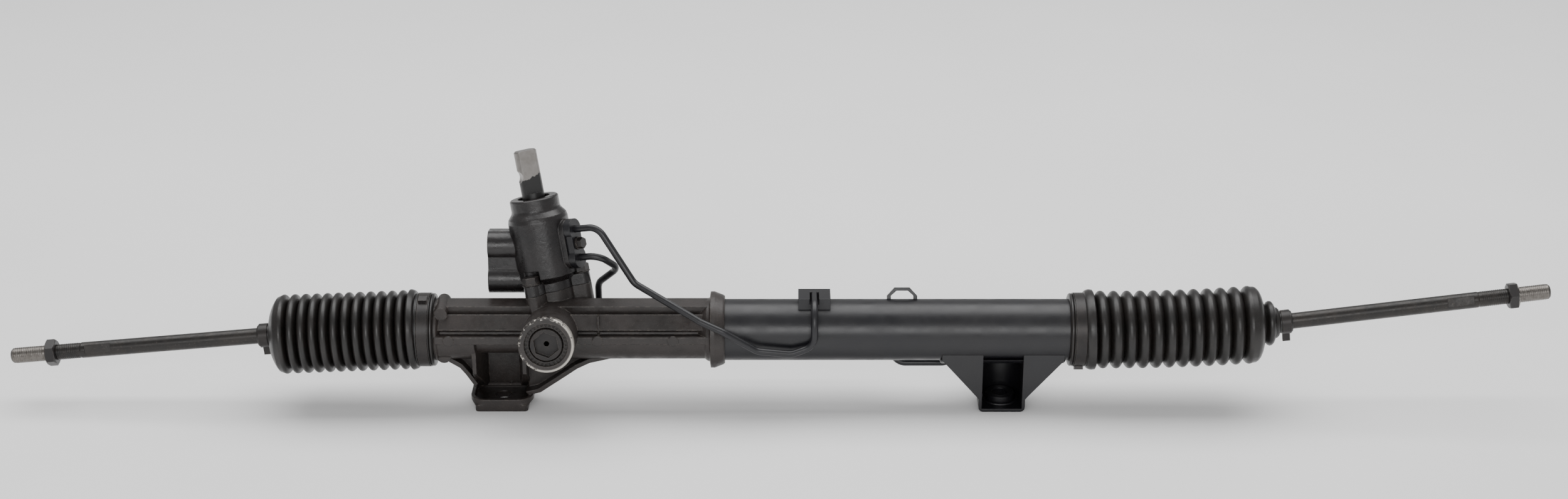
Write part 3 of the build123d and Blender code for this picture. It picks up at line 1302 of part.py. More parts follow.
    with BuildPart() as boot_clamp_small:
        with BuildSketch(section(neck_place, rod_dir, rod_up)):
            band(-small_clamp_width / 2, small_clamp_width / 2, boot_neck_radius,
                 boot_neck_radius + clamp_thickness)
        revolve(axis=Axis(neck_place, rod_dir))
        with BuildSketch(across(neck_place, rod_dir, rod_up * -1, -small_clamp_width / 2 + 0.5)):
            with Locations((boot_neck_radius + 4.0, 0)):
                Rectangle(7.4, 2.6)
        extrude(amount=small_clamp_width - 1.0)
    finish(boot_clamp_small, f"boot_clamp_small_{name}")
print("written", len(written))
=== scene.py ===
"""Finishes, bellows, threads and studio of a hydraulic steering rack.

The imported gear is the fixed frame.  Its nodes keep their shape and get their
materials here; soft and fine pieces are built around them: rounded bellows,
rolled threads, chamfered nuts and bolt heads, clamp bands and weld beads.
"""
import json
import math

import bmesh
import bpy
from mathutils import Matrix, Vector


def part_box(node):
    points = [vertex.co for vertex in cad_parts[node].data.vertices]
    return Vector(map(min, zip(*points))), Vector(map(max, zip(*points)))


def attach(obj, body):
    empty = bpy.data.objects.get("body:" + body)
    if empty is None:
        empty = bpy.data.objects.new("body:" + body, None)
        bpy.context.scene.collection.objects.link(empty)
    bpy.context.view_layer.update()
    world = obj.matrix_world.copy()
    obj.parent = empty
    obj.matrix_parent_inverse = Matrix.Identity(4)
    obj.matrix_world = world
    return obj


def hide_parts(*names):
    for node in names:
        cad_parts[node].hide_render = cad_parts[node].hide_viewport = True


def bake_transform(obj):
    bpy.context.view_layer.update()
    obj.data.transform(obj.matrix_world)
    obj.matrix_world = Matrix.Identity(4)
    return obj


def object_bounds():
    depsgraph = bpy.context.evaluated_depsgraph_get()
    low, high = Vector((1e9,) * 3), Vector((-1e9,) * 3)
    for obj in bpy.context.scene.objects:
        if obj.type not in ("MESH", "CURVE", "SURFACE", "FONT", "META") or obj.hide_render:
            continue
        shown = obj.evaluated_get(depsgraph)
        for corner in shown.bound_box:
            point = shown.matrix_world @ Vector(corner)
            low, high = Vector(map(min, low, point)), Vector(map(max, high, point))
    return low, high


bl_info = {
    "name": "Steering rack dressing",
    "version": (1, 0, 0),
    "blender": (4, 5, 0),
    "location": "3D View > Sidebar > Steering rack",
    "description": "Builds the finishes, bellows, threads and studio of a steering rack",
    "category": "Object",
}

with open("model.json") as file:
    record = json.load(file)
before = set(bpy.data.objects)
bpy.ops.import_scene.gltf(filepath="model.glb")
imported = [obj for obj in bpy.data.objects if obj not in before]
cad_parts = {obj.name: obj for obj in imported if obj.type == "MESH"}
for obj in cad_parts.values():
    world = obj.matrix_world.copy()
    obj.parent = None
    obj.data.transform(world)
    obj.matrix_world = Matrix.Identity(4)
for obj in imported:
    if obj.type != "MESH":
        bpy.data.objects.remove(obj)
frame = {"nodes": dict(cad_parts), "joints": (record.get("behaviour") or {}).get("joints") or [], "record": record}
CAD_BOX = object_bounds()
NODES = frame["nodes"]
JOINTS = {joint["name"]: joint for joint in frame["joints"]}
MOUNTS = {mount["name"]: mount for mount in frame["record"]["mounts"]}
MM = 0.001

# ------------------------------------------------------------------ geometry read from the frame
RACK_HEIGHT = JOINTS["left_pitch"]["pos_m"][2]
BALL = {side: Vector(JOINTS[f"{side}_pitch"]["pos_m"]) for side in ("left", "right")}
ROD = {side: Vector(MOUNTS[f"{side}_rod_thread"]["axis"]).normalized() for side in ("left", "right")}
OUT = {"left": Vector((-1, 0, 0)), "right": Vector((1, 0, 0))}
PINION = Vector(JOINTS["pinion_spin"]["axis"]).normalized()
PINION_AT = Vector(JOINTS["pinion_spin"]["pos_m"])
if PINION.z < 0:
    PINION = -PINION
RACK_LINE = Vector((0, 0, RACK_HEIGHT))
ROUND = 96                                    # corners of a turned piece around the rack


def middle(node):
    """Middle of a node's corners."""
    places = [v.co for v in NODES[node].data.vertices]
    low = Vector([min(p[k] for p in places) for k in range(3)])
    high = Vector([max(p[k] for p in places) for k in range(3)])
    return (low + high) / 2


YOKE_AT = middle("yoke_seal")
YOKE = (middle("yoke_lock_ring") - YOKE_AT).normalized()


def along(node, axis, origin):
    """Lowest and highest place of a node along an axis, in metres from the origin."""
    places = [(v.co - origin).dot(axis) for v in NODES[node].data.vertices]
    return min(places), max(places)


def reach(node, axis, origin):
    """Largest distance of a node's corners from an axis."""
    far = 0.0
    for v in NODES[node].data.vertices:
        step = v.co - origin
        far = max(far, (step - axis * step.dot(axis)).length)
    return far


# ------------------------------------------------------------------ node helpers
MIX_FIRST, MIX_SECOND, MIX_RESULT = 6, 7, 2   # the mix node's colour sockets


def linear(code):
    """sRGB hex code to linear red, green, blue and alpha."""
    parts = [int(code[i:i + 2], 16) / 255 for i in (1, 3, 5)]
    parts = [c / 12.92 if c <= 0.04045 else ((c + 0.055) / 1.055) ** 2.4 for c in parts]
    return (*parts, 1.0)


def add(tree, kind, links=None, **settings):
    """Adds one shader node, sets its properties or sockets, and links its inputs."""
    node = tree.nodes.new(kind)
    for key, value in settings.items():
        if hasattr(node, key):
            setattr(node, key, value)
        else:
            node.inputs[key.replace("_", " ")].default_value = value
    for key, socket in (links or {}).items():
        tree.links.new(socket, node.inputs[key])
    return node


def new_material(name, roughness, metallic=0.0, ior=1.5):
    """A material with a principled shader whose constant values sit on its own sockets."""
    material = bpy.data.materials.new(name)
    material.use_nodes = True
    tree = material.node_tree
    tree.nodes.clear()
    output = add(tree, "ShaderNodeOutputMaterial")
    shader = add(tree, "ShaderNodeBsdfPrincipled", Roughness=roughness, Metallic=metallic, IOR=ior)
    tree.links.new(shader.outputs["BSDF"], output.inputs["Surface"])
    return material, tree, shader


def place(tree):
    """The object's own coordinates: metres, fixed to the piece."""
    return add(tree, "ShaderNodeTexCoord").outputs["Object"]


def noise(tree, size_mm, detail=3.0, rough=0.55, seed=0.0):
    """Cloudy pattern whose features are about size_mm across."""
    moved = add(tree, "ShaderNodeMapping", {"Vector": place(tree)})
    moved.inputs["Location"].default_value = (seed, seed * 0.7, seed * 1.3)
    made = add(tree, "ShaderNodeTexNoise", {"Vector": moved.outputs["Vector"]},
               Scale=1 / (size_mm * MM), Detail=detail, Roughness=rough)
    return made.outputs["Fac"]


def steps(tree, source, low, high, start=0.0, end=1.0):
    """Maps a pattern's low..high to start..end, clamped."""
    made = add(tree, "ShaderNodeMapRange", {"Value": source}, clamp=True)
    for key, value in (("From Min", low), ("From Max", high), ("To Min", start), ("To Max", end)):
        made.inputs[key].default_value = value
    return made.outputs["Result"]


def blend_colour(tree, factor, first, second):
    """Mixes two colours, each a hex code or a socket."""
    made = add(tree, "ShaderNodeMix", {"Factor": factor}, data_type="RGBA")
    for socket, value in ((made.inputs[MIX_FIRST], first), (made.inputs[MIX_SECOND], second)):
        if isinstance(value, str):
            socket.default_value = linear(value)
        else:
            tree.links.new(value, socket)
    return made.outputs[MIX_RESULT]


def level(tree, origin, axis):
    """Distance along an axis from its origin, in metres."""
    step = add(tree, "ShaderNodeVectorMath", {0: place(tree)}, operation="SUBTRACT")
    step.inputs[1].default_value = origin
    made = add(tree, "ShaderNodeVectorMath", {0: step.outputs["Vector"]}, operation="DOT_PRODUCT")
    made.inputs[1].default_value = axis
    return made.outputs["Value"]


def radial(tree, origin, axis):
    """Distance from an axis, in metres."""
    step = add(tree, "ShaderNodeVectorMath", {0: place(tree)}, operation="SUBTRACT")
    step.inputs[1].default_value = origin
    made = add(tree, "ShaderNodeVectorMath", {0: step.outputs["Vector"]}, operation="CROSS_PRODUCT")
    made.inputs[1].default_value = axis
    size = add(tree, "ShaderNodeVectorMath", {0: made.outputs["Vector"]}, operation="LENGTH")
    return size.outputs["Value"]


def times(tree, first, second):
    """Product of two masks."""
    return add(tree, "ShaderNodeMath", {0: first, 1: second}, operation="MULTIPLY").outputs["Value"]


def plus(tree, first, second):
    """Sum of two patterns."""
    return add(tree, "ShaderNodeMath", {0: first, 1: second}, operation="ADD").outputs["Value"]


def bump(tree, shader, height, depth_mm, under=None):
    """Raises the surface by a pattern; under is a normal that it starts from."""
    links = {"Height": height}
    if under is not None:
        links["Normal"] = under
    made = add(tree, "ShaderNodeBump", links, Strength=1.0, Distance=depth_mm * MM)
    tree.links.new(made.outputs["Normal"], shader.inputs["Normal"])
    return made.outputs["Normal"]


def rounded(tree, radius_mm):
    """Normal of the surface with its edges rounded by radius_mm."""
    return add(tree, "ShaderNodeBevel", samples=6, Radius=radius_mm * MM).outputs["Normal"]


def edge_mask(tree, soft):
    """Mask of the edges that a rounded normal softens."""
    plain = add(tree, "ShaderNodeNewGeometry").outputs["Normal"]
    same = add(tree, "ShaderNodeVectorMath", {0: soft, 1: plain}, operation="DOT_PRODUCT")
    return steps(tree, same.outputs["Value"], 0.995, 0.80)


# ------------------------------------------------------------------ finishes
# yoke boss: where the paint of its rim has flaked off, with more bare metal on one side as a painted highlight
RIM_DEPTH = 1.2 * MM                          # band along the boss in which the flaking grows
RIM_BELOW_RING = 3.2 * MM                     # from the lock ring's face back to the rim
RIM_INNER = (19.5 * MM, 20.5 * MM)            # radii over which the flaking comes in
RIM_OUTER = (23.2 * MM, 22.6 * MM)            # radii over which it is gone again
RIM_HIGHLIGHT_SIDE = Vector((0.86, 0, -0.5))            # side of the boss given the most bare metal, as a painted highlight
RIM_HIGHLIGHT_HALF = 14.0 * MM                          # half the width over which that painted highlight fades into the other side
# input shaft: edge of the paint that it was dipped in
DIP_AXIS = (PINION + Vector((-0.28, 0, 0))).normalized()
DIP_WAVE = 2.2 * MM
DIP_EDGE = 0.3 * MM


def satin_black_enamel(look):
    """Sprayed satin enamel on drawn steel: smooth, a faint orange peel, a cool gloss."""
    material, tree, shader = new_material("satin_black_enamel", 0.36, ior=1.52)
    cloud = noise(tree, 45)
    colour = blend_colour(tree, steps(tree, cloud, 0.35, 0.7), look.enamel, "#131215")
    dust = steps(tree, noise(tree, 1.1, 2, seed=3.1), 0.62, 0.80, 0, 0.35)
    tree.links.new(blend_colour(tree, dust, colour, "#2a2725"), shader.inputs["Base Color"])
    haze = steps(tree, noise(tree, 14, 4, seed=1.7), 0.3, 0.7, 0.30, 0.44)
    tree.links.new(haze, shader.inputs["Roughness"])
    peel = noise(tree, 1.6, 2, seed=5.0)
    bump(tree, shader, peel, 0.035, under=rounded(tree, 0.8))
    return material


def painted_casting(look):
    """Sand-rough pressure casting under thin black paint: brownish, matt, gritty."""
    material, tree, shader = new_material("painted_casting", 0.46, ior=1.5)
    cloud = steps(tree, noise(tree, 26), 0.35, 0.68)
    colour = blend_colour(tree, cloud, look.casting, "#2c2624")
    grit = steps(tree, noise(tree, 0.9, 3, seed=2.2), 0.58, 0.76, 0, 0.6)
    colour = blend_colour(tree, grit, colour, "#453d38")
    soft = rounded(tree, 1.3)
    worn = times(tree, edge_mask(tree, soft), steps(tree, noise(tree, 3.0, 4, seed=4.0), 0.48, 0.62))
    colour = blend_colour(tree, worn, colour, "#5c554e")
    # flaked rim of the yoke boss, strongest low on the side away from the pinion, where the extra bare metal is a
    # painted highlight
    face = along("yoke_lock_ring", YOKE, YOKE_AT)[1] - RIM_BELOW_RING
    across = radial(tree, YOKE_AT, YOKE)
    rim = times(tree, steps(tree, across, *RIM_INNER),
                steps(tree, level(tree, YOKE_AT, YOKE), face - RIM_DEPTH, face))
    rim = times(tree, rim, steps(tree, across, *RIM_OUTER))
    # painted highlight: raises the flaking towards the lower side of the rim
    side = steps(tree, level(tree, YOKE_AT, RIM_HIGHLIGHT_SIDE), -RIM_HIGHLIGHT_HALF, RIM_HIGHLIGHT_HALF, -0.10, 0.16)
    flakes_and_highlight = plus(tree, noise(tree, 2.6, 5, 0.65, seed=11.0), side)
    flakes_and_highlight = times(tree, rim, steps(tree, flakes_and_highlight, 0.46, 0.50))
    tree.links.new(blend_colour(tree, flakes_and_highlight, colour, "#b9b4ac"), shader.inputs["Base Color"])
    tree.links.new(steps(tree, flakes_and_highlight, 0, 1, 0.0, 0.7), shader.inputs["Metallic"])
    haze = steps(tree, noise(tree, 7, 4, seed=7.0), 0.3, 0.7, 0.32, 0.52)
    tree.links.new(haze, shader.inputs["Roughness"])
    coarse = noise(tree, 3.2, 4, 0.65, seed=9.0)
    first = bump(tree, shader, coarse, 0.14, under=soft)
    bump(tree, shader, noise(tree, 0.7, 3, seed=6.0), 0.06, under=first)
    return material


def glossy_black_casting():
    """Valve housing: the same casting under a wetter coat that pools on its lobes."""
    material, tree, shader = new_material("glossy_black_casting", 0.34, ior=1.52)
    cloud = steps(tree, noise(tree, 22), 0.35, 0.68)
    colour = blend_colour(tree, cloud, "#131112", "#201c1c")
    soft = rounded(tree, 1.2)
    worn = times(tree, edge_mask(tree, soft), steps(tree, noise(tree, 2.4, 4, seed=4.4), 0.5, 0.62))
    tree.links.new(blend_colour(tree, worn, colour, "#38332e"), shader.inputs["Base Color"])
    haze = steps(tree, noise(tree, 6, 4, seed=7.7), 0.3, 0.7, 0.24, 0.38)
    tree.links.new(haze, shader.inputs["Roughness"])
    first = bump(tree, shader, noise(tree, 4.0, 4, 0.6, seed=9.4), 0.22, under=soft)
    bump(tree, shader, noise(tree, 0.8, 3, seed=6.6), 0.07, under=first)
    return material


def moulded_rubber(look):
    """Moulded EPDM: near black with a brown bloom, soft sheen, fine mould grain."""
    material, tree, shader = new_material("moulded_rubber", 0.46, ior=1.52)
    cloud = steps(tree, noise(tree, 18), 0.3, 0.7)
    colour = blend_colour(tree, cloud, look.rubber, "#191513")
    bloom = steps(tree, noise(tree, 2.2, 3, seed=8.0), 0.58, 0.80, 0, 0.5)
    tree.links.new(blend_colour(tree, bloom, colour, "#2b2521"), shader.inputs["Base Color"])
    haze = steps(tree, noise(tree, 5, 3, seed=2.0), 0.3, 0.7, 0.32, 0.44)
    tree.links.new(haze, shader.inputs["Roughness"])
    bump(tree, shader, noise(tree, 0.8, 2, seed=1.0), 0.05)
    return material


def dipped_steel(look):
    """Input shaft: machined steel above, black paint with a slanting edge on its lower part."""
    material, tree, shader = new_material("dipped_steel", 0.36)
    wave = steps(tree, noise(tree, 9, 3, seed=2.6), 0.3, 0.7, -DIP_WAVE, DIP_WAVE)
    slant = plus(tree, level(tree, PINION_AT, DIP_AXIS), wave)
    bare = steps(tree, slant, look.dip_level - DIP_EDGE, look.dip_level + DIP_EDGE)
    dull = steps(tree, noise(tree, 7, 4, seed=3.0), 0.40, 0.72)
    steel = blend_colour(tree, dull, "#8a8784", "#7b7773")
    tree.links.new(blend_colour(tree, bare, "#100f0f", steel), shader.inputs["Base Color"])
    tree.links.new(steps(tree, bare, 0, 1, 0.0, 0.9), shader.inputs["Metallic"])
    haze = steps(tree, noise(tree, 1.8, 4, seed=5.5), 0.3, 0.7, 0.30, 0.46)
    tree.links.new(haze, shader.inputs["Roughness"])
    bump(tree, shader, noise(tree, 0.6, 3, seed=2.4), 0.02, under=rounded(tree, 0.4))
    return material


def bare_metal(name, tone, stain):
    """Machined metal: bright, a fine uneven grain, dull stain in patches."""
    material, tree, shader = new_material(name, 0.34, metallic=1.0)
    stained = steps(tree, noise(tree, 2.5, 3, seed=3.0), 0.45, 0.85)
    tree.links.new(blend_colour(tree, stained, tone, stain), shader.inputs["Base Color"])
    haze = steps(tree, noise(tree, 1.8, 4, seed=5.5), 0.3, 0.7, 0.26, 0.48)
    tree.links.new(haze, shader.inputs["Roughness"])
    bump(tree, shader, noise(tree, 0.5, 3, seed=2.4), 0.02, under=rounded(tree, 0.4))
    return material


def phosphated_steel(look):
    """Forged rod with a black phosphate and oil film: dark, satin, long highlight."""
    material, tree, shader = new_material("phosphated_steel", 0.38, metallic=0.35, ior=1.6)
    cloud = steps(tree, noise(tree, 12), 0.35, 0.7)
    colour = blend_colour(tree, cloud, look.rod, "#26211d")
    scuff = steps(tree, noise(tree, 1.6, 4, seed=6.1), 0.60, 0.76, 0, 0.7)
    tree.links.new(blend_colour(tree, scuff, colour, "#4b443d"), shader.inputs["Base Color"])
    haze = steps(tree, noise(tree, 4, 4, seed=2.9), 0.3, 0.7, 0.28, 0.48)
    tree.links.new(haze, shader.inputs["Roughness"])
    bump(tree, shader, noise(tree, 1.0, 3, seed=3.3), 0.04, under=rounded(tree, 0.5))
    return material


def moulded_acetal():
    """Moulded acetal: ivory, low gloss."""
    material, tree, shader = new_material("moulded_acetal", 0.42, ior=1.48)
    cloud = steps(tree, noise(tree, 5), 0.3, 0.7)
    tree.links.new(blend_colour(tree, cloud, "#c9c2a6", "#b5ad90"), shader.inputs["Base Color"])
    bump(tree, shader, noise(tree, 0.6, 2), 0.02)
    return material


def painted_steel_band():
    """Pressed steel band and small hardware, sprayed over with the rest: black, edges rubbed."""
    material, tree, shader = new_material("painted_steel_band", 0.40, metallic=0.2)
    cloud = steps(tree, noise(tree, 8), 0.35, 0.7)
    colour = blend_colour(tree, cloud, "#181515", "#26211f")
    soft = rounded(tree, 0.5)
    worn = times(tree, edge_mask(tree, soft), steps(tree, noise(tree, 1.5, 3, seed=4.9), 0.40, 0.55))
    tree.links.new(blend_colour(tree, worn, colour, "#6d665f"), shader.inputs["Base Color"])
    bump(tree, shader, noise(tree, 0.9, 3, seed=1.9), 0.03, under=soft)
    return material


# seed of the scraped patches, how metallic they are, and their colour
SCRAPED = {"left": (13.0, 0.3, "#3c3733"), "right": (4.2, 0.85, "#b4b0aa")}


def scraped_nut(side, face):
    """Black nut whose outboard face and corners the locking spanner has scraped bright."""
    seed, metal, tone = SCRAPED[side]
    material, tree, shader = new_material(f"scraped_nut_{side}", 0.40)
    soft = rounded(tree, 0.5)
    outer = steps(tree, level(tree, BALL[side], ROD[side]), face - 1.3 * MM, face - 0.2 * MM)
    patch = steps(tree, noise(tree, 4.0, 4, 0.6, seed=seed), 0.44, 0.52)
    scraped = times(tree, outer, patch)
    corner = times(tree, edge_mask(tree, soft), steps(tree, noise(tree, 2.0, 3, seed=7.3), 0.45, 0.6))
    tree.links.new(steps(tree, scraped, 0, 1, 0.0, metal), shader.inputs["Metallic"])
    colour = blend_colour(tree, corner, "#191616", "#6b655e")
    tree.links.new(blend_colour(tree, scraped, colour, tone), shader.inputs["Base Color"])
    bump(tree, shader, noise(tree, 0.9, 3, seed=1.9), 0.03, under=soft)
    return material


# ------------------------------------------------------------------ mesh helpers
def frame_on(axis):
    """Rotation whose X axis is the given axis and whose Z axis is as near up as it can be."""
    axis = axis.normalized()
    side = Vector((0, 0, 1)).cross(axis)
    if side.length < 1e-6:
        side = Vector((0, 1, 0)).cross(axis)
    side.normalize()
    return Matrix((axis, side, axis.cross(side))).transposed()


def scaled(shape, start=0.0):
    """Outline points in millimetres to metres, moved along by start."""
    return [(start + at * MM, radius * MM) for at, radius in shape]


def finish_mesh(name, bm, material, angle=35.0):
    """Turns a bmesh into an object with one material; corners above the angle stay sharp."""
    bmesh.ops.remove_doubles(bm, verts=bm.verts, dist=1e-7)
    bmesh.ops.recalc_face_normals(bm, faces=bm.faces)
    mesh = bpy.data.meshes.new(name)
    bm.to_mesh(mesh)
    bm.free()
    mesh.materials.append(material)
    mesh.shade_smooth()
    mesh.set_sharp_from_angle(angle=math.radians(angle))
    piece = bpy.data.objects.new(name, mesh)
    bpy.context.scene.collection.objects.link(piece)
    return piece


def turned(bm, centre_of, outline, segments):
    """Turns an outline of (along, radius) points; centre_of(along) gives centre and rotation."""
    rings = []
    for at, radius in outline:
        centre, turn = centre_of(at)
        ring = []
        for step in range(segments):
            angle = 2 * math.pi * step / segments
            spoke = turn @ Vector((0, math.cos(angle), math.sin(angle)))
            ring.append(bm.verts.new(centre + spoke * radius))
        rings.append(ring)
    for first, second in zip(rings, rings[1:] + rings[:1]):
        for step in range(segments):
            after = (step + 1) % segments
            bm.faces.new((first[step], first[after], second[after], second[step]))


def straight(origin, axis):
    """Centre line for turned(): a straight axis."""
    turn = frame_on(axis)
    return lambda at: (origin + axis * at, turn)


def hexagon_radius(angle, across):
    """Distance from the middle of a hexagon to its side at an angle."""
    local = (angle + math.pi / 6) % (math.pi / 3) - math.pi / 6
    return across / 2 / math.cos(local)


HEX_FACE = 0.95                               # circle that the chamfer leaves, over the width across flats
HEX_CHAMFER = math.radians(30)
HEX_PIN = 0.02                                # pinhole of a head without a bore, over the same width


def hexagon_head(bm, origin, axis, across, height, bore=0.0, turn_by=0.0, both=True, segments=72):
    """A hexagon with chamfered corners, with a hole through it when bore is given."""
    turn = frame_on(axis)
    flat = across / 2 * HEX_FACE
    slope = math.tan(HEX_CHAMFER)

    def ring(radius_of, height_of):
        made = []
        for step in range(segments):
            angle = 2 * math.pi * step / segments
            spoke = turn @ Vector((0, math.cos(angle + turn_by), math.sin(angle + turn_by)))
            made.append(bm.verts.new(origin + axis * height_of(angle) + spoke * radius_of(angle)))
        return made

    def side(angle):
        return hexagon_radius(angle, across)

    def drop(angle):
        return (side(angle) - flat) * slope

    low = drop if both else (lambda a: 0.0)
    inner = max(bore / 2, across * HEX_PIN)
    rings = [ring(lambda a: inner, lambda a: 0.0)]
    if both:
        rings.append(ring(lambda a: flat, lambda a: 0.0))
    rings += [
        ring(side, low), ring(side, lambda a: height - drop(a)),
        ring(lambda a: flat, lambda a: height), ring(lambda a: inner, lambda a: height),
    ]
    for first, second in zip(rings, rings[1:] + rings[:1]):
        for step in range(segments):
            after = (step + 1) % segments
            bm.faces.new((first[step], first[after], second[after], second[step]))


def thread(bm, origin, axis, start, end, root, crest, pitch, segments=32):
    """A rolled V thread wound on a shaft between start and end, faded out over its first and last turns."""
    turn = frame_on(axis)
    half_width = pitch * 0.46
    buried = root - 0.15 * MM
    count = int((end - start) / pitch * segments)
    last = None
    for step in range(count + 1):
        angle = 2 * math.pi * step / segments
        at = start + (end - start) * step / count
        fade = min(1.0, step / segments * 1.5, (count - step) / segments * 1.5)
        spoke = turn @ Vector((0, math.cos(angle), math.sin(angle)))
        peak = root + (crest - root) * fade
        row = [bm.verts.new(origin + axis * (at + side * half_width) + spoke * radius)
               for side, radius in ((-1, buried), (-0.12, peak), (0.12, peak), (1, buried))]
        if last:
            for k in range(3):
                bm.faces.new((last[k], last[k + 1], row[k + 1], row[k]))
            bm.faces.new((last[3], last[0], row[0], row[3]))
        else:
            bm.faces.new(row)
        last = row
    bm.faces.new(reversed(last))


def bead(bm, points, radius, closed=False, ripple=0.12, per=2.2 * MM, segments=8):
    """A weld bead: a rippled round string of metal along points."""
    rings = []
    count = len(points)
    run = 0.0
    for k, point in enumerate(points):
        before = points[k - 1] if k or closed else points[k]
        after = points[(k + 1) % count] if k < count - 1 or closed else points[k]
        run += (point - before).length if k else 0.0
        turn = frame_on((after - before).normalized())
        swell = radius * (1 + ripple * math.sin(2 * math.pi * run / per))
        rings.append([bm.verts.new(point + turn @ Vector((0, math.cos(a), math.sin(a))) * swell)
                      for a in (2 * math.pi * s / segments for s in range(segments))])
    pairs = list(zip(rings, rings[1:])) + ([(rings[-1], rings[0])] if closed else [])
    for first, second in pairs:
        for s in range(segments):
            bm.faces.new((first[s], first[(s + 1) % segments], second[(s + 1) % segments], second[s]))
    if not closed:
        bm.faces.new(reversed(rings[0]))
        bm.faces.new(rings[-1])


# ------------------------------------------------------------------ settings
class RackLook(bpy.types.PropertyGroup):
    """Colours of the finishes."""
    enamel: bpy.props.StringProperty(
        name="Enamel", description="Satin enamel on the tube, bracket and pipes", default="#0f0f14")
    casting: bpy.props.StringProperty(
        name="Casting", description="Painted casting of the rack housing", default="#1f1b19")
    rubber: bpy.props.StringProperty(
        name="Rubber", description="Bellows rubber", default="#0d0c0b")
    rod: bpy.props.StringProperty(
        name="Rod", description="Phosphated tie rods", default="#151312")
    dip_level: bpy.props.FloatProperty(
        name="Dip level", description="Height of the black paint on the input shaft", default=0.118,
        unit="LENGTH")


class RackShapes(bpy.types.PropertyGroup):
    """Sizes of the pieces built around the frame."""
    folds: bpy.props.IntProperty(
        name="Folds", description="Folds of each bellows", default=12, min=4, max=20)
    rubber_wall: bpy.props.FloatProperty(
        name="Rubber wall", description="Thickness of the bellows", default=1.3 * MM, unit="LENGTH")
    thread_pitch: bpy.props.FloatProperty(
        name="Thread pitch", description="Pitch of the tie rod thread", default=1.5 * MM, unit="LENGTH")
    weld_radius: bpy.props.FloatProperty(
        name="Weld radius", description="Radius of the weld beads", default=1.5 * MM, unit="LENGTH")


class RackStudio(bpy.types.PropertyGroup):
    """Camera and light."""
    distance: bpy.props.FloatProperty(
        name="Distance", description="Camera to rack axis", default=2.0, unit="LENGTH")
    elevation: bpy.props.FloatProperty(
        name="Elevation", description="Camera above level", default=math.radians(25), subtype="ANGLE")
    middle: bpy.props.FloatProperty(
        name="Middle", description="Place on the rack that the camera faces", default=0.226, unit="LENGTH")
    width: bpy.props.FloatProperty(
        name="Width", description="Width of the view at the rack", default=1.25, unit="LENGTH")
    axis_drop: bpy.props.FloatProperty(
        name="Axis drop", description="Rack axis below the view's centre, in view widths", default=0.051)
    key: bpy.props.FloatProperty(
        name="Key", description="Strength of the top softbox", default=46.0, unit="POWER")
    fill: bpy.props.FloatProperty(
        name="Fill", description="Strength of the front softbox", default=24.0, unit="POWER")
    world: bpy.props.FloatProperty(
        name="World", description="Strength of the white surround", default=0.50)


FINISH_OF = {
    "painted_casting": ("rack_housing",),
    "glossy_black_casting": ("valve_housing",),
    "satin_black_enamel": ("cylinder_tube", "mount_bracket", "port_blocks", "tube_clip", "pipe_short",
                           "pipe_long", "pipe_plate", "bracket_collar"),
    "phosphated_steel": ("tie_rod_left", "tie_rod_right", "ball_socket_left", "ball_socket_right",
                         "lock_washer_left", "lock_washer_right", "end_retainer", "piston_clips",
                         "yoke_spring"),
    "dipped_steel": ("input_shaft",),
    "machined_steel": ("rack_bar", "piston", "pinion", "valve_sleeve", "torsion_bar",
                       "pinion_bearing_outer", "pinion_bearing_inner", "lower_needle_bearing",
                       "needle_bearing", "port_seats"),
    "dull_aluminium": ("rack_yoke", "end_bush", "inner_seal_seat"),
    "moulded_rubber": ("shaft_seal", "inner_seal", "end_seal", "end_bush_ring", "yoke_seal", "pipe_rings",
                       "boot_left", "boot_right"),
    "moulded_acetal": ("rack_bush", "yoke_pad", "piston_ring", "sleeve_rings", "ball_seat_left",
                       "ball_seat_right"),
    "painted_steel_band": ("boot_clamp_large_left", "boot_clamp_large_right", "boot_clamp_small_left",
                           "boot_clamp_small_right", "valve_bolts", "pipe_plate_bolt", "jam_nut_left",
                           "jam_nut_right", "yoke_plug", "yoke_lock_ring"),
}


class RACK_OT_finishes(bpy.types.Operator):
    """Gives every node of the frame its finish"""
    bl_idname = "rack.finishes"
    bl_label = "Finishes"

    def execute(self, context):
        look = context.scene.rack_look
        satin_black_enamel(look)
        painted_casting(look)
        glossy_black_casting()
        moulded_rubber(look)
        bare_metal("machined_steel", "#8f8b85", "#5a544c")
        bare_metal("dull_aluminium", "#4a4641", "#24211e")
        phosphated_steel(look)
        dipped_steel(look)
        moulded_acetal()
        painted_steel_band()
        for finish, names in FINISH_OF.items():
            material = bpy.data.materials[finish]
            for name in names:
                node = NODES[name]
                node.data.materials.clear()
                node.data.materials.append(material)
        return {"FINISHED"}


# ------------------------------------------------------------------ bellows
TUBE_END = along("cylinder_tube", OUT["right"], RACK_LINE)[1]
CUFF_END = {"left": -69.8 * MM, "right": TUBE_END - 0.5 * MM}     # outboard ends of the cuffs
FOLD_PITCH = {"left": 8.63 * MM, "right": 10.6 * MM}
SHARPNESS = {"left": 0.75, "right": 1.0}      # 0.5 is a round fold, 1.0 a peaked one
FOLD_ROOT = {"left": 24.8 * MM, "right": 25.6 * MM}
FOLD_CREST = {"left": 31.7 * MM, "right": 31.1 * MM}
SAG = {"left": 0.0, "right": 2.0 * MM}        # how far the middle hangs below the straight line
NECK_AT = {"left": 52.5 * MM, "right": 48.5 * MM}                 # from the ball's middle to the neck
NECK_BORE = 6.45                              # the outlines from here on are in millimetres
NECK = ((-0.5, 8.7), (9.2, 8.7), (9.8, 8.3), (10.0, 7.7), (10.0, NECK_BORE), (-0.5, NECK_BORE))
# bead between cuff and folds: from the cuff's end, down to the first fold, and back inside
BEAD_RISE = ((-4.6, 28.7), (-4.2, 30.2), (-3.2, 31.2), (-1.4, 31.9), (0.1, 32.2))
BEAD_FALL = ((-1.5, 31.8), (-0.8, 30.8), (-0.2, 28.8))
BEAD_LINING = ((0.4, 25.3), (-4.4, 25.3))
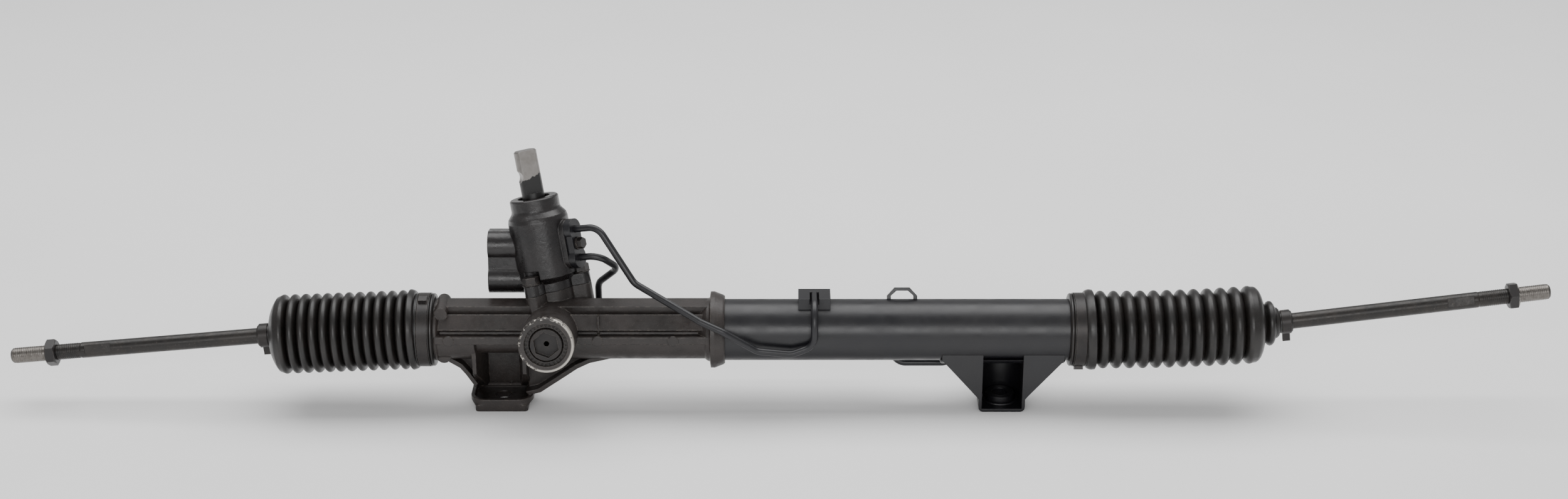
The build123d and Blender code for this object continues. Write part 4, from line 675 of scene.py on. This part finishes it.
# cuff: lip, ridge inboard of the clamp, ridge outboard of it, and the end inside the bead
CUFF_LIP_AT = -8.5 * MM                       # from the clamp's middle
CUFF_LIP = ((0.0, 24.52), (0.0, 27.0), (0.5, 28.4), (1.2, 29.0), (2.2, 29.0), (2.8, 28.4))
CUFF_INBOARD = ((-1.2, 28.3), (-0.9, 29.3), (-0.4, 29.3), (-0.2, 28.3))
CUFF_OUTBOARD = ((0.2, 28.3), (0.4, 29.3), (1.2, 29.4), (1.6, 28.6))
CUFF_TAIL = ((-1.4, 28.4), (-0.8, 28.0), (-0.6, 25.4), (-1.4, 24.52))
# end of the bellows, from the end of its last fold to the neck
END_LINE = {
    "left": ((0.3, 29.9), (1.6, 28.2), (3.2, 25.6), (4.6, 22.8), (5.8, 19.8), (6.6, 16.8), (7.2, 13.4),
             (7.5, 11.0), (7.8, 8.7)),
    "right": ((-0.4, 30.2), (1.2, 29.3), (2.9, 27.4), (4.4, 24.4), (5.6, 20.6), (6.4, 17.1), (7.0, 15.1),
              (7.6, 14.6), (8.4, 15.7), (9.6, 17.2), (11.2, 17.9), (12.8, 17.6), (14.2, 16.2),
              (15.2, 14.0), (15.8, 12.6), (17.6, 12.0), (18.7, 10.8), (19.4, 8.7)),
}
SLIDING_FOLDS = {"left": 8, "right": 12}      # folds that only the rack's travel squeezes
TIP_END = {"left": None, "right": 3}          # point of END_LINE where the tip ends; None: after its folds
PHASES = (0, 0.015, 0.05, 0.10, 0.16, 0.24, 0.32, 0.41, 0.5, 0.59, 0.68, 0.76, 0.84, 0.90, 0.95, 0.985)
LAST_PHASE = 0.7                              # the last fold goes over into END_LINE here
FOLD_POWER = 2.2                              # the higher, the narrower the valleys


def bellows_outline(side, shapes, inset):
    """Outline of the folds as (along, radius) points, with the bellows' ends and the folds' limits."""
    start = RACK_LINE + Vector((CUFF_END[side], 0, 0))
    end = BALL[side] + ROD[side] * NECK_AT[side]
    last = (end - start).length - END_LINE[side][-1][0] * MM
    first = last - shapes.folds * FOLD_PITCH[side]
    crest, root = FOLD_CREST[side] - inset, FOLD_ROOT[side] - inset
    points = []
    for fold in range(shapes.folds):
        for phase in PHASES:
            if fold == shapes.folds - 1 and phase > LAST_PHASE:
                continue
            lift = (1 - abs(2 * phase - 1) ** FOLD_POWER) ** SHARPNESS[side]
            points.append((first + (fold + phase) * FOLD_PITCH[side], root + (crest - root) * lift))
    return start, end, first, last, points


def stretch(points, low, high):
    """Part of an outline between two places, with new points on both cuts."""
    def radius_at(at):
        for (x0, r0), (x1, r1) in zip(points, points[1:]):
            if x0 <= at <= x1:
                return r0 + (r1 - r0) * (at - x0) / (x1 - x0)
        return points[0][1] if at < points[0][0] else points[-1][1]

    kept = [p for p in points if low + 1e-6 < p[0] < high - 1e-6]
    return [(low, radius_at(low))] + kept + [(high, radius_at(high))]


def hanging(origin, axis, length, sag):
    """Centre line for turned() that hangs below the straight line by sag in its middle."""
    turn = frame_on(axis)

    def centre_of(at):
        share = min(max(at / length, 0.0), 1.0)
        return origin + axis * at - Vector((0, 0, 4 * sag * share * (1 - share))), turn

    return centre_of


class RACK_OT_bellows(bpy.types.Operator):
    """Builds both rubber bellows with rounded folds that follow the rack and the rods"""
    bl_idname = "rack.bellows"
    bl_label = "Bellows"

    def execute(self, context):
        shapes = context.scene.rack_shapes
        rubber = bpy.data.materials["moulded_rubber"]
        for side in ("left", "right"):
            self.build(side, shapes, rubber)
        return {"FINISHED"}

    def build(self, side, shapes, rubber):
        wall = shapes.rubber_wall
        start, end, first, last, outer = bellows_outline(side, shapes, 0.0)
        inner = bellows_outline(side, shapes, wall)[4]
        axis = (end - start).normalized()
        cut_one = first + SLIDING_FOLDS[side] * FOLD_PITCH[side]
        line = hanging(start, axis, (end - start).length, SAG[side])
        dome = scaled(END_LINE[side], last)
        outer += dome
        # the lining of the steep end lies half a wall inboard as well as a wall inside
        inner += [(at - wall * 0.5, radius - wall) for at, radius in dome[:-1]]
        inner.append((dome[-1][0] - wall * 0.4, NECK_BORE * MM))
        split = last if TIP_END[side] is None else dome[TIP_END[side]][0]

        def between(low, high):
            """Closed outline of the wall between two places; both cuts lie across the wall."""
            skin, lining = stretch(outer, low, high), stretch(inner, low, high)
            return skin + lining[::-1]

        # folds that the rack's travel squeezes, with the cuff's bead in front of them
        bm = bmesh.new()
        bead_line = scaled(BEAD_RISE) + scaled(BEAD_FALL, first)
        turned(bm, line, bead_line + between(first, cut_one) + scaled(BEAD_LINING), ROUND)
        folds = finish_mesh(f"bellows_{side}", bm, rubber)
        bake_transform(folds)
        # folds and dome near the ball joint, as a piece of their own
        bm = bmesh.new()
        turned(bm, line, between(cut_one, split), ROUND)
        tip = finish_mesh(f"bellows_tip_{side}", bm, rubber)
        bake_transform(tip)
        # end face and neck, as a piece of their own
        bm = bmesh.new()
        turned(bm, straight(end, ROD[side]), scaled(NECK), 64)
        turned(bm, line, between(split, dome[-1][0]), ROUND)
        neck = finish_mesh(f"bellows_neck_{side}", bm, rubber)
        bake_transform(neck)
        # cuff on the housing
        bm = bmesh.new()
        low, high = along(f"boot_clamp_large_{side}", OUT[side], RACK_LINE)
        outline = scaled(CUFF_LIP, (low + high) / 2 + CUFF_LIP_AT)
        outline += scaled(CUFF_INBOARD, low) + scaled(CUFF_OUTBOARD, high)
        outline += scaled(CUFF_TAIL, CUFF_END[side] * OUT[side].x)
        turned(bm, straight(RACK_LINE, OUT[side]), outline, ROUND)
        cuff = finish_mesh(f"bellows_cuff_{side}", bm, rubber)
        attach(cuff, "housing")
        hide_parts(f"boot_{side}")


# ------------------------------------------------------------------ threads, nuts, bolts
NUT_ACROSS = 19.0 * MM
NUT_BORE = 12.0 * MM
NUT_TURNED = 0.2                              # radians that the nuts' flats are turned by
THREAD_ROOT = 5.98 * MM
THREAD_CREST = 6.32 * MM
THREAD_START = 206.5 * MM                     # from the ball's middle to the thread inboard of the nut
THREAD_GAP = 0.8 * MM                         # between a thread and the nut's face
THREAD_TIP = 2.2 * MM                         # the thread stops this far before the rod's tip
# bare end of the rod, in millimetres from the nut's face and from the rod's tip
BARE_FOOT = ((0.0, 6.0), (0.0, 6.02))
BARE_TIP = ((-1.6, 6.02), (-0.2, 4.9), (-0.1, 0.2), (-0.6, 0.2), (-2.4, 4.0))


class RACK_OT_rod_ends(bpy.types.Operator):
    """Rolls the tie rods' threads and makes their chamfered jam nuts"""
    bl_idname = "rack.rod_ends"
    bl_label = "Rod ends"

    def execute(self, context):
        shapes = context.scene.rack_shapes
        dark = bpy.data.materials["phosphated_steel"]
        bright = bare_metal("bare_thread", "#77736f", "#5a5550")
        for side in ("left", "right"):
            axis, ball, body = ROD[side], BALL[side], f"rod_{side}"
            low, high = along(f"jam_nut_{side}", axis, ball)
            tip = along(f"tie_rod_{side}", axis, ball)[1]
            for name, start, end, material in (
                ("inboard", THREAD_START, low - THREAD_GAP, dark),
                ("outboard", high + THREAD_GAP, tip - THREAD_TIP, bright),
            ):
                bm = bmesh.new()
                thread(bm, ball, axis, start, end, THREAD_ROOT, THREAD_CREST, shapes.thread_pitch)
                piece = finish_mesh(f"thread_{name}_{side}", bm, material, angle=50)
                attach(piece, body)
            bm = bmesh.new()
            hexagon_head(bm, ball + axis * low, axis, NUT_ACROSS, high - low, bore=NUT_BORE,
                         turn_by=NUT_TURNED)
            nut = finish_mesh(f"nut_{side}", bm, scraped_nut(side, high), angle=25)
            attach(nut, body)
            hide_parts(f"jam_nut_{side}")
            # bare end of the rod outboard of the nut
            bm = bmesh.new()
            turned(bm, straight(ball, axis), scaled(BARE_FOOT, high) + scaled(BARE_TIP, tip), 48)
            end = finish_mesh(f"bare_end_{side}", bm, bright, angle=25)
            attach(end, body)
        return {"FINISHED"}


def islands(node):
    """Foot of each separate solid of a node, and its lowest and highest place along the pinion axis."""
    mesh = NODES[node].data
    parent = list(range(len(mesh.vertices)))

    def root(k):
        while parent[k] != k:
            parent[k] = parent[parent[k]]
            k = parent[k]
        return k

    spots = {}
    for vert in mesh.vertices:
        key = tuple(round(c * 1e6) for c in vert.co)
        if key in spots:
            parent[root(vert.index)] = root(spots[key])
        else:
            spots[key] = vert.index
    for edge in mesh.edges:
        a, b = edge.vertices
        parent[root(a)] = root(b)
    groups = {}
    for vert in mesh.vertices:
        groups.setdefault(root(vert.index), []).append(vert.co)
    found = []
    for places in groups.values():
        reaches = [p.dot(PINION) for p in places]
        low = min(reaches)
        foot = [p for p in places if p.dot(PINION) - low < 0.2 * MM]
        rim = sum(foot, Vector()) / len(foot)
        found.append((rim, low, max(reaches)))
    return found


FLANGE = ((0.0, 0.5), (0.0, 6.9), (0.3, 7.2), (0.9, 7.2), (1.9, 5.6), (1.9, 0.5))     # in millimetres
BOLT_HEAD = 6.8 * MM                          # flange and hexagon together
HEXAGON_AT = 1.4 * MM                         # the hexagon starts inside the flange's cone
HEXAGON_ACROSS = 12.0 * MM
SHANK_RADIUS = 3.99 * MM
SHANK_PIN = 0.3 * MM                          # pinhole through the shank's mesh


class RACK_OT_valve_bolts(bpy.types.Operator):
    """Makes the chamfered flange bolts of the valve housing"""
    bl_idname = "rack.valve_bolts"
    bl_label = "Valve bolts"

    def execute(self, context):
        paint = bpy.data.materials["painted_steel_band"]
        bm = bmesh.new()
        for foot, low, high in islands("valve_bolts"):
            base = foot + PINION * (low - foot.dot(PINION))
            shank = high - low - BOLT_HEAD
            flange_at = base + PINION * shank
            turned(bm, straight(flange_at, PINION), scaled(FLANGE), 48)
            hexagon_head(bm, flange_at + PINION * HEXAGON_AT, PINION, HEXAGON_ACROSS, BOLT_HEAD - HEXAGON_AT,
                         both=False)
            turned(bm, straight(base, PINION),
                   [(0, SHANK_PIN), (0, SHANK_RADIUS), (shank, SHANK_RADIUS), (shank, SHANK_PIN)], 32)
        piece = finish_mesh("flange_bolts", bm, paint, angle=25)
        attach(piece, "housing")
        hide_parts("valve_bolts")
        return {"FINISHED"}


# ------------------------------------------------------------------ welds
TUBE_WELD = (-132, -48)                       # degrees around the tube that a bead covers
TUBE_WELD_STEPS = 30
TUBE_WELD_GAP = 0.7 * MM                      # from the tube to the bead's middle
COLLAR_WELD = 13.6 * MM                       # radius of the ring around the bolt collar
COLLAR_WELD_UP = 2.6 * MM                     # its height above the seat face
COLLAR_WELD_THICK = 1.1 * MM
COLLAR_WELD_STEPS = 60
SHEET_MIDDLE = 0.3 * MM                       # from the bracket's edge to the bead's middle


class RACK_OT_welds(bpy.types.Operator):
    """Lays the weld beads of the bracket and its collar"""
    bl_idname = "rack.welds"
    bl_label = "Welds"

    def execute(self, context):
        shapes = context.scene.rack_shapes
        paint = bpy.data.materials["satin_black_enamel"]
        low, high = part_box("mount_bracket")
        tube = reach("cylinder_tube", Vector((1, 0, 0)), RACK_LINE)
        run = tube + TUBE_WELD_GAP
        first, last = TUBE_WELD
        bm = bmesh.new()
        for x in (low.x + SHEET_MIDDLE, high.x - SHEET_MIDDLE):
            points = []
            for step in range(TUBE_WELD_STEPS + 1):
                angle = math.radians(first + (last - first) * step / TUBE_WELD_STEPS)
                points.append(Vector((x, -math.cos(angle) * run, RACK_HEIGHT + math.sin(angle) * run)))
            bead(bm, points, shapes.weld_radius)
        seat = Vector(MOUNTS["right_mount_bore"]["pos_m"]) + Vector((0, 0, COLLAR_WELD_UP))
        ring = [seat + Vector((math.cos(a), math.sin(a), 0)) * COLLAR_WELD
                for a in (2 * math.pi * s / COLLAR_WELD_STEPS for s in range(COLLAR_WELD_STEPS))]
        bead(bm, ring, COLLAR_WELD_THICK, closed=True)
        piece = finish_mesh("bracket_welds", bm, paint, angle=60)
        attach(piece, "housing")
        return {"FINISHED"}


# ------------------------------------------------------------------ clamps
CLAMP_INNER = 28.35 * MM
# half of the band's outline, in millimetres from its edge and above its inside
BAND_EDGE = ((0.0, 0.0), (0.0, 0.7), (0.3, 1.1), (1.4, 1.1), (1.9, 0.7))


class RACK_OT_clamps(bpy.types.Operator):
    """Rolls the bands of the two large boot clamps, with a raised bead along both edges"""
    bl_idname = "rack.clamps"
    bl_label = "Clamps"

    def execute(self, context):
        paint = bpy.data.materials["painted_steel_band"]
        for side in ("left", "right"):
            low, high = along(f"boot_clamp_large_{side}", OUT[side], RACK_LINE)
            bm = bmesh.new()
            band = [(low + at * MM, CLAMP_INNER + up * MM) for at, up in BAND_EDGE]
            band += [(high - at * MM, CLAMP_INNER + up * MM) for at, up in reversed(BAND_EDGE)]
            turned(bm, straight(RACK_LINE, OUT[side]), band, ROUND)
            piece = finish_mesh(f"clamp_band_{side}", bm, paint, angle=30)
            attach(piece, "housing")
        return {"FINISHED"}


# ------------------------------------------------------------------ studio
FLOOR_SIZE = 12.0
FLOOR_DROP = 0.2 * MM                         # the floor lies this far below the lowest face
# place from the middle of the rack, width and height of each lamp, in metres
SOFTBOXES = {"top_softbox": ((0, 0.55, 1.7), 3.0, 1.4), "front_softbox": ((-0.1, -2.1, 0.9), 2.2, 0.8)}
SENSOR_WIDTH = 36.0                           # in millimetres, as the camera takes it
FARTHEST = 50.0                               # nothing beyond this shows, in metres


class RACK_OT_studio(bpy.types.Operator):
    """Sets the pale floor, the soft lights and the camera"""
    bl_idname = "rack.studio"
    bl_label = "Studio"

    def execute(self, context):
        studio = context.scene.rack_studio
        aim = RACK_LINE + Vector((studio.middle, 0, 0))
        self.floor(aim)
        self.lights(aim, studio)
        self.camera(context, aim, studio)
        return {"FINISHED"}

    def floor(self, aim):
        material, tree, shader = new_material("matt_white_board", 0.9)
        paper = steps(tree, noise(tree, 300), 0.3, 0.7)
        tree.links.new(blend_colour(tree, paper, "#f7f7f7", "#fbfbfb"), shader.inputs["Base Color"])
        bpy.ops.mesh.primitive_plane_add(size=FLOOR_SIZE, location=(aim.x, 0, CAD_BOX[0][2] - FLOOR_DROP))
        floor = bpy.context.object
        floor.name = "floor"
        floor.data.materials.append(material)

    def softbox(self, name, aim, power):
        offset, wide, tall = SOFTBOXES[name]
        lamp = bpy.data.lights.new(name, "AREA")
        lamp.shape = "RECTANGLE"
        lamp.size, lamp.size_y = wide, tall
        lamp.energy = power
        box = bpy.data.objects.new(name, lamp)
        box.location = aim + Vector(offset)
        box.rotation_euler = Vector(offset).to_track_quat("Z", "Y").to_euler()
        bpy.context.scene.collection.objects.link(box)

    def lights(self, aim, studio):
        self.softbox("top_softbox", aim, studio.key)
        self.softbox("front_softbox", aim, studio.fill)
        world = bpy.context.scene.world or bpy.data.worlds.new("studio")
        bpy.context.scene.world = world
        world.use_nodes = True
        shade = world.node_tree.nodes["Background"]
        shade.inputs["Color"].default_value = (1, 1, 1, 1)
        shade.inputs["Strength"].default_value = studio.world

    def camera(self, context, aim, studio):
        data = bpy.data.cameras.new("camera")
        data.sensor_width = SENSOR_WIDTH
        data.lens = SENSOR_WIDTH * studio.distance / studio.width
        data.shift_y = studio.axis_drop
        data.clip_end = FARTHEST
        camera = bpy.data.objects.new("camera", data)
        back = Vector((0, -math.cos(studio.elevation), math.sin(studio.elevation)))
        camera.location = aim + back * studio.distance
        camera.rotation_euler = back.to_track_quat("Z", "Y").to_euler()
        context.scene.collection.objects.link(camera)
        context.scene.camera = camera


class RACK_PT_panel(bpy.types.Panel):
    """Lists the building steps"""
    bl_idname = "RACK_PT_panel"
    bl_label = "Steering rack"
    bl_space_type = "VIEW_3D"
    bl_region_type = "UI"
    bl_category = "Steering rack"

    def draw(self, context):
        for kind in OPERATORS:
            self.layout.operator(kind.bl_idname)


GROUPS = {"rack_look": RackLook, "rack_shapes": RackShapes, "rack_studio": RackStudio}
OPERATORS = (RACK_OT_finishes, RACK_OT_bellows, RACK_OT_rod_ends, RACK_OT_valve_bolts, RACK_OT_welds,
             RACK_OT_clamps, RACK_OT_studio)


def register():
    for kind in (*GROUPS.values(), *OPERATORS, RACK_PT_panel):
        bpy.utils.register_class(kind)
    for name, kind in GROUPS.items():
        setattr(bpy.types.Scene, name, bpy.props.PointerProperty(type=kind))


def unregister():
    for name in GROUPS:
        delattr(bpy.types.Scene, name)
    for kind in reversed((*GROUPS.values(), *OPERATORS, RACK_PT_panel)):
        bpy.utils.unregister_class(kind)


def main():
    register()
    bpy.ops.rack.finishes()
    bpy.ops.rack.bellows()
    bpy.ops.rack.rod_ends()
    bpy.ops.rack.valve_bolts()
    bpy.ops.rack.welds()
    bpy.ops.rack.clamps()
    bpy.ops.rack.studio()


if __name__ == "__main__":
    main()
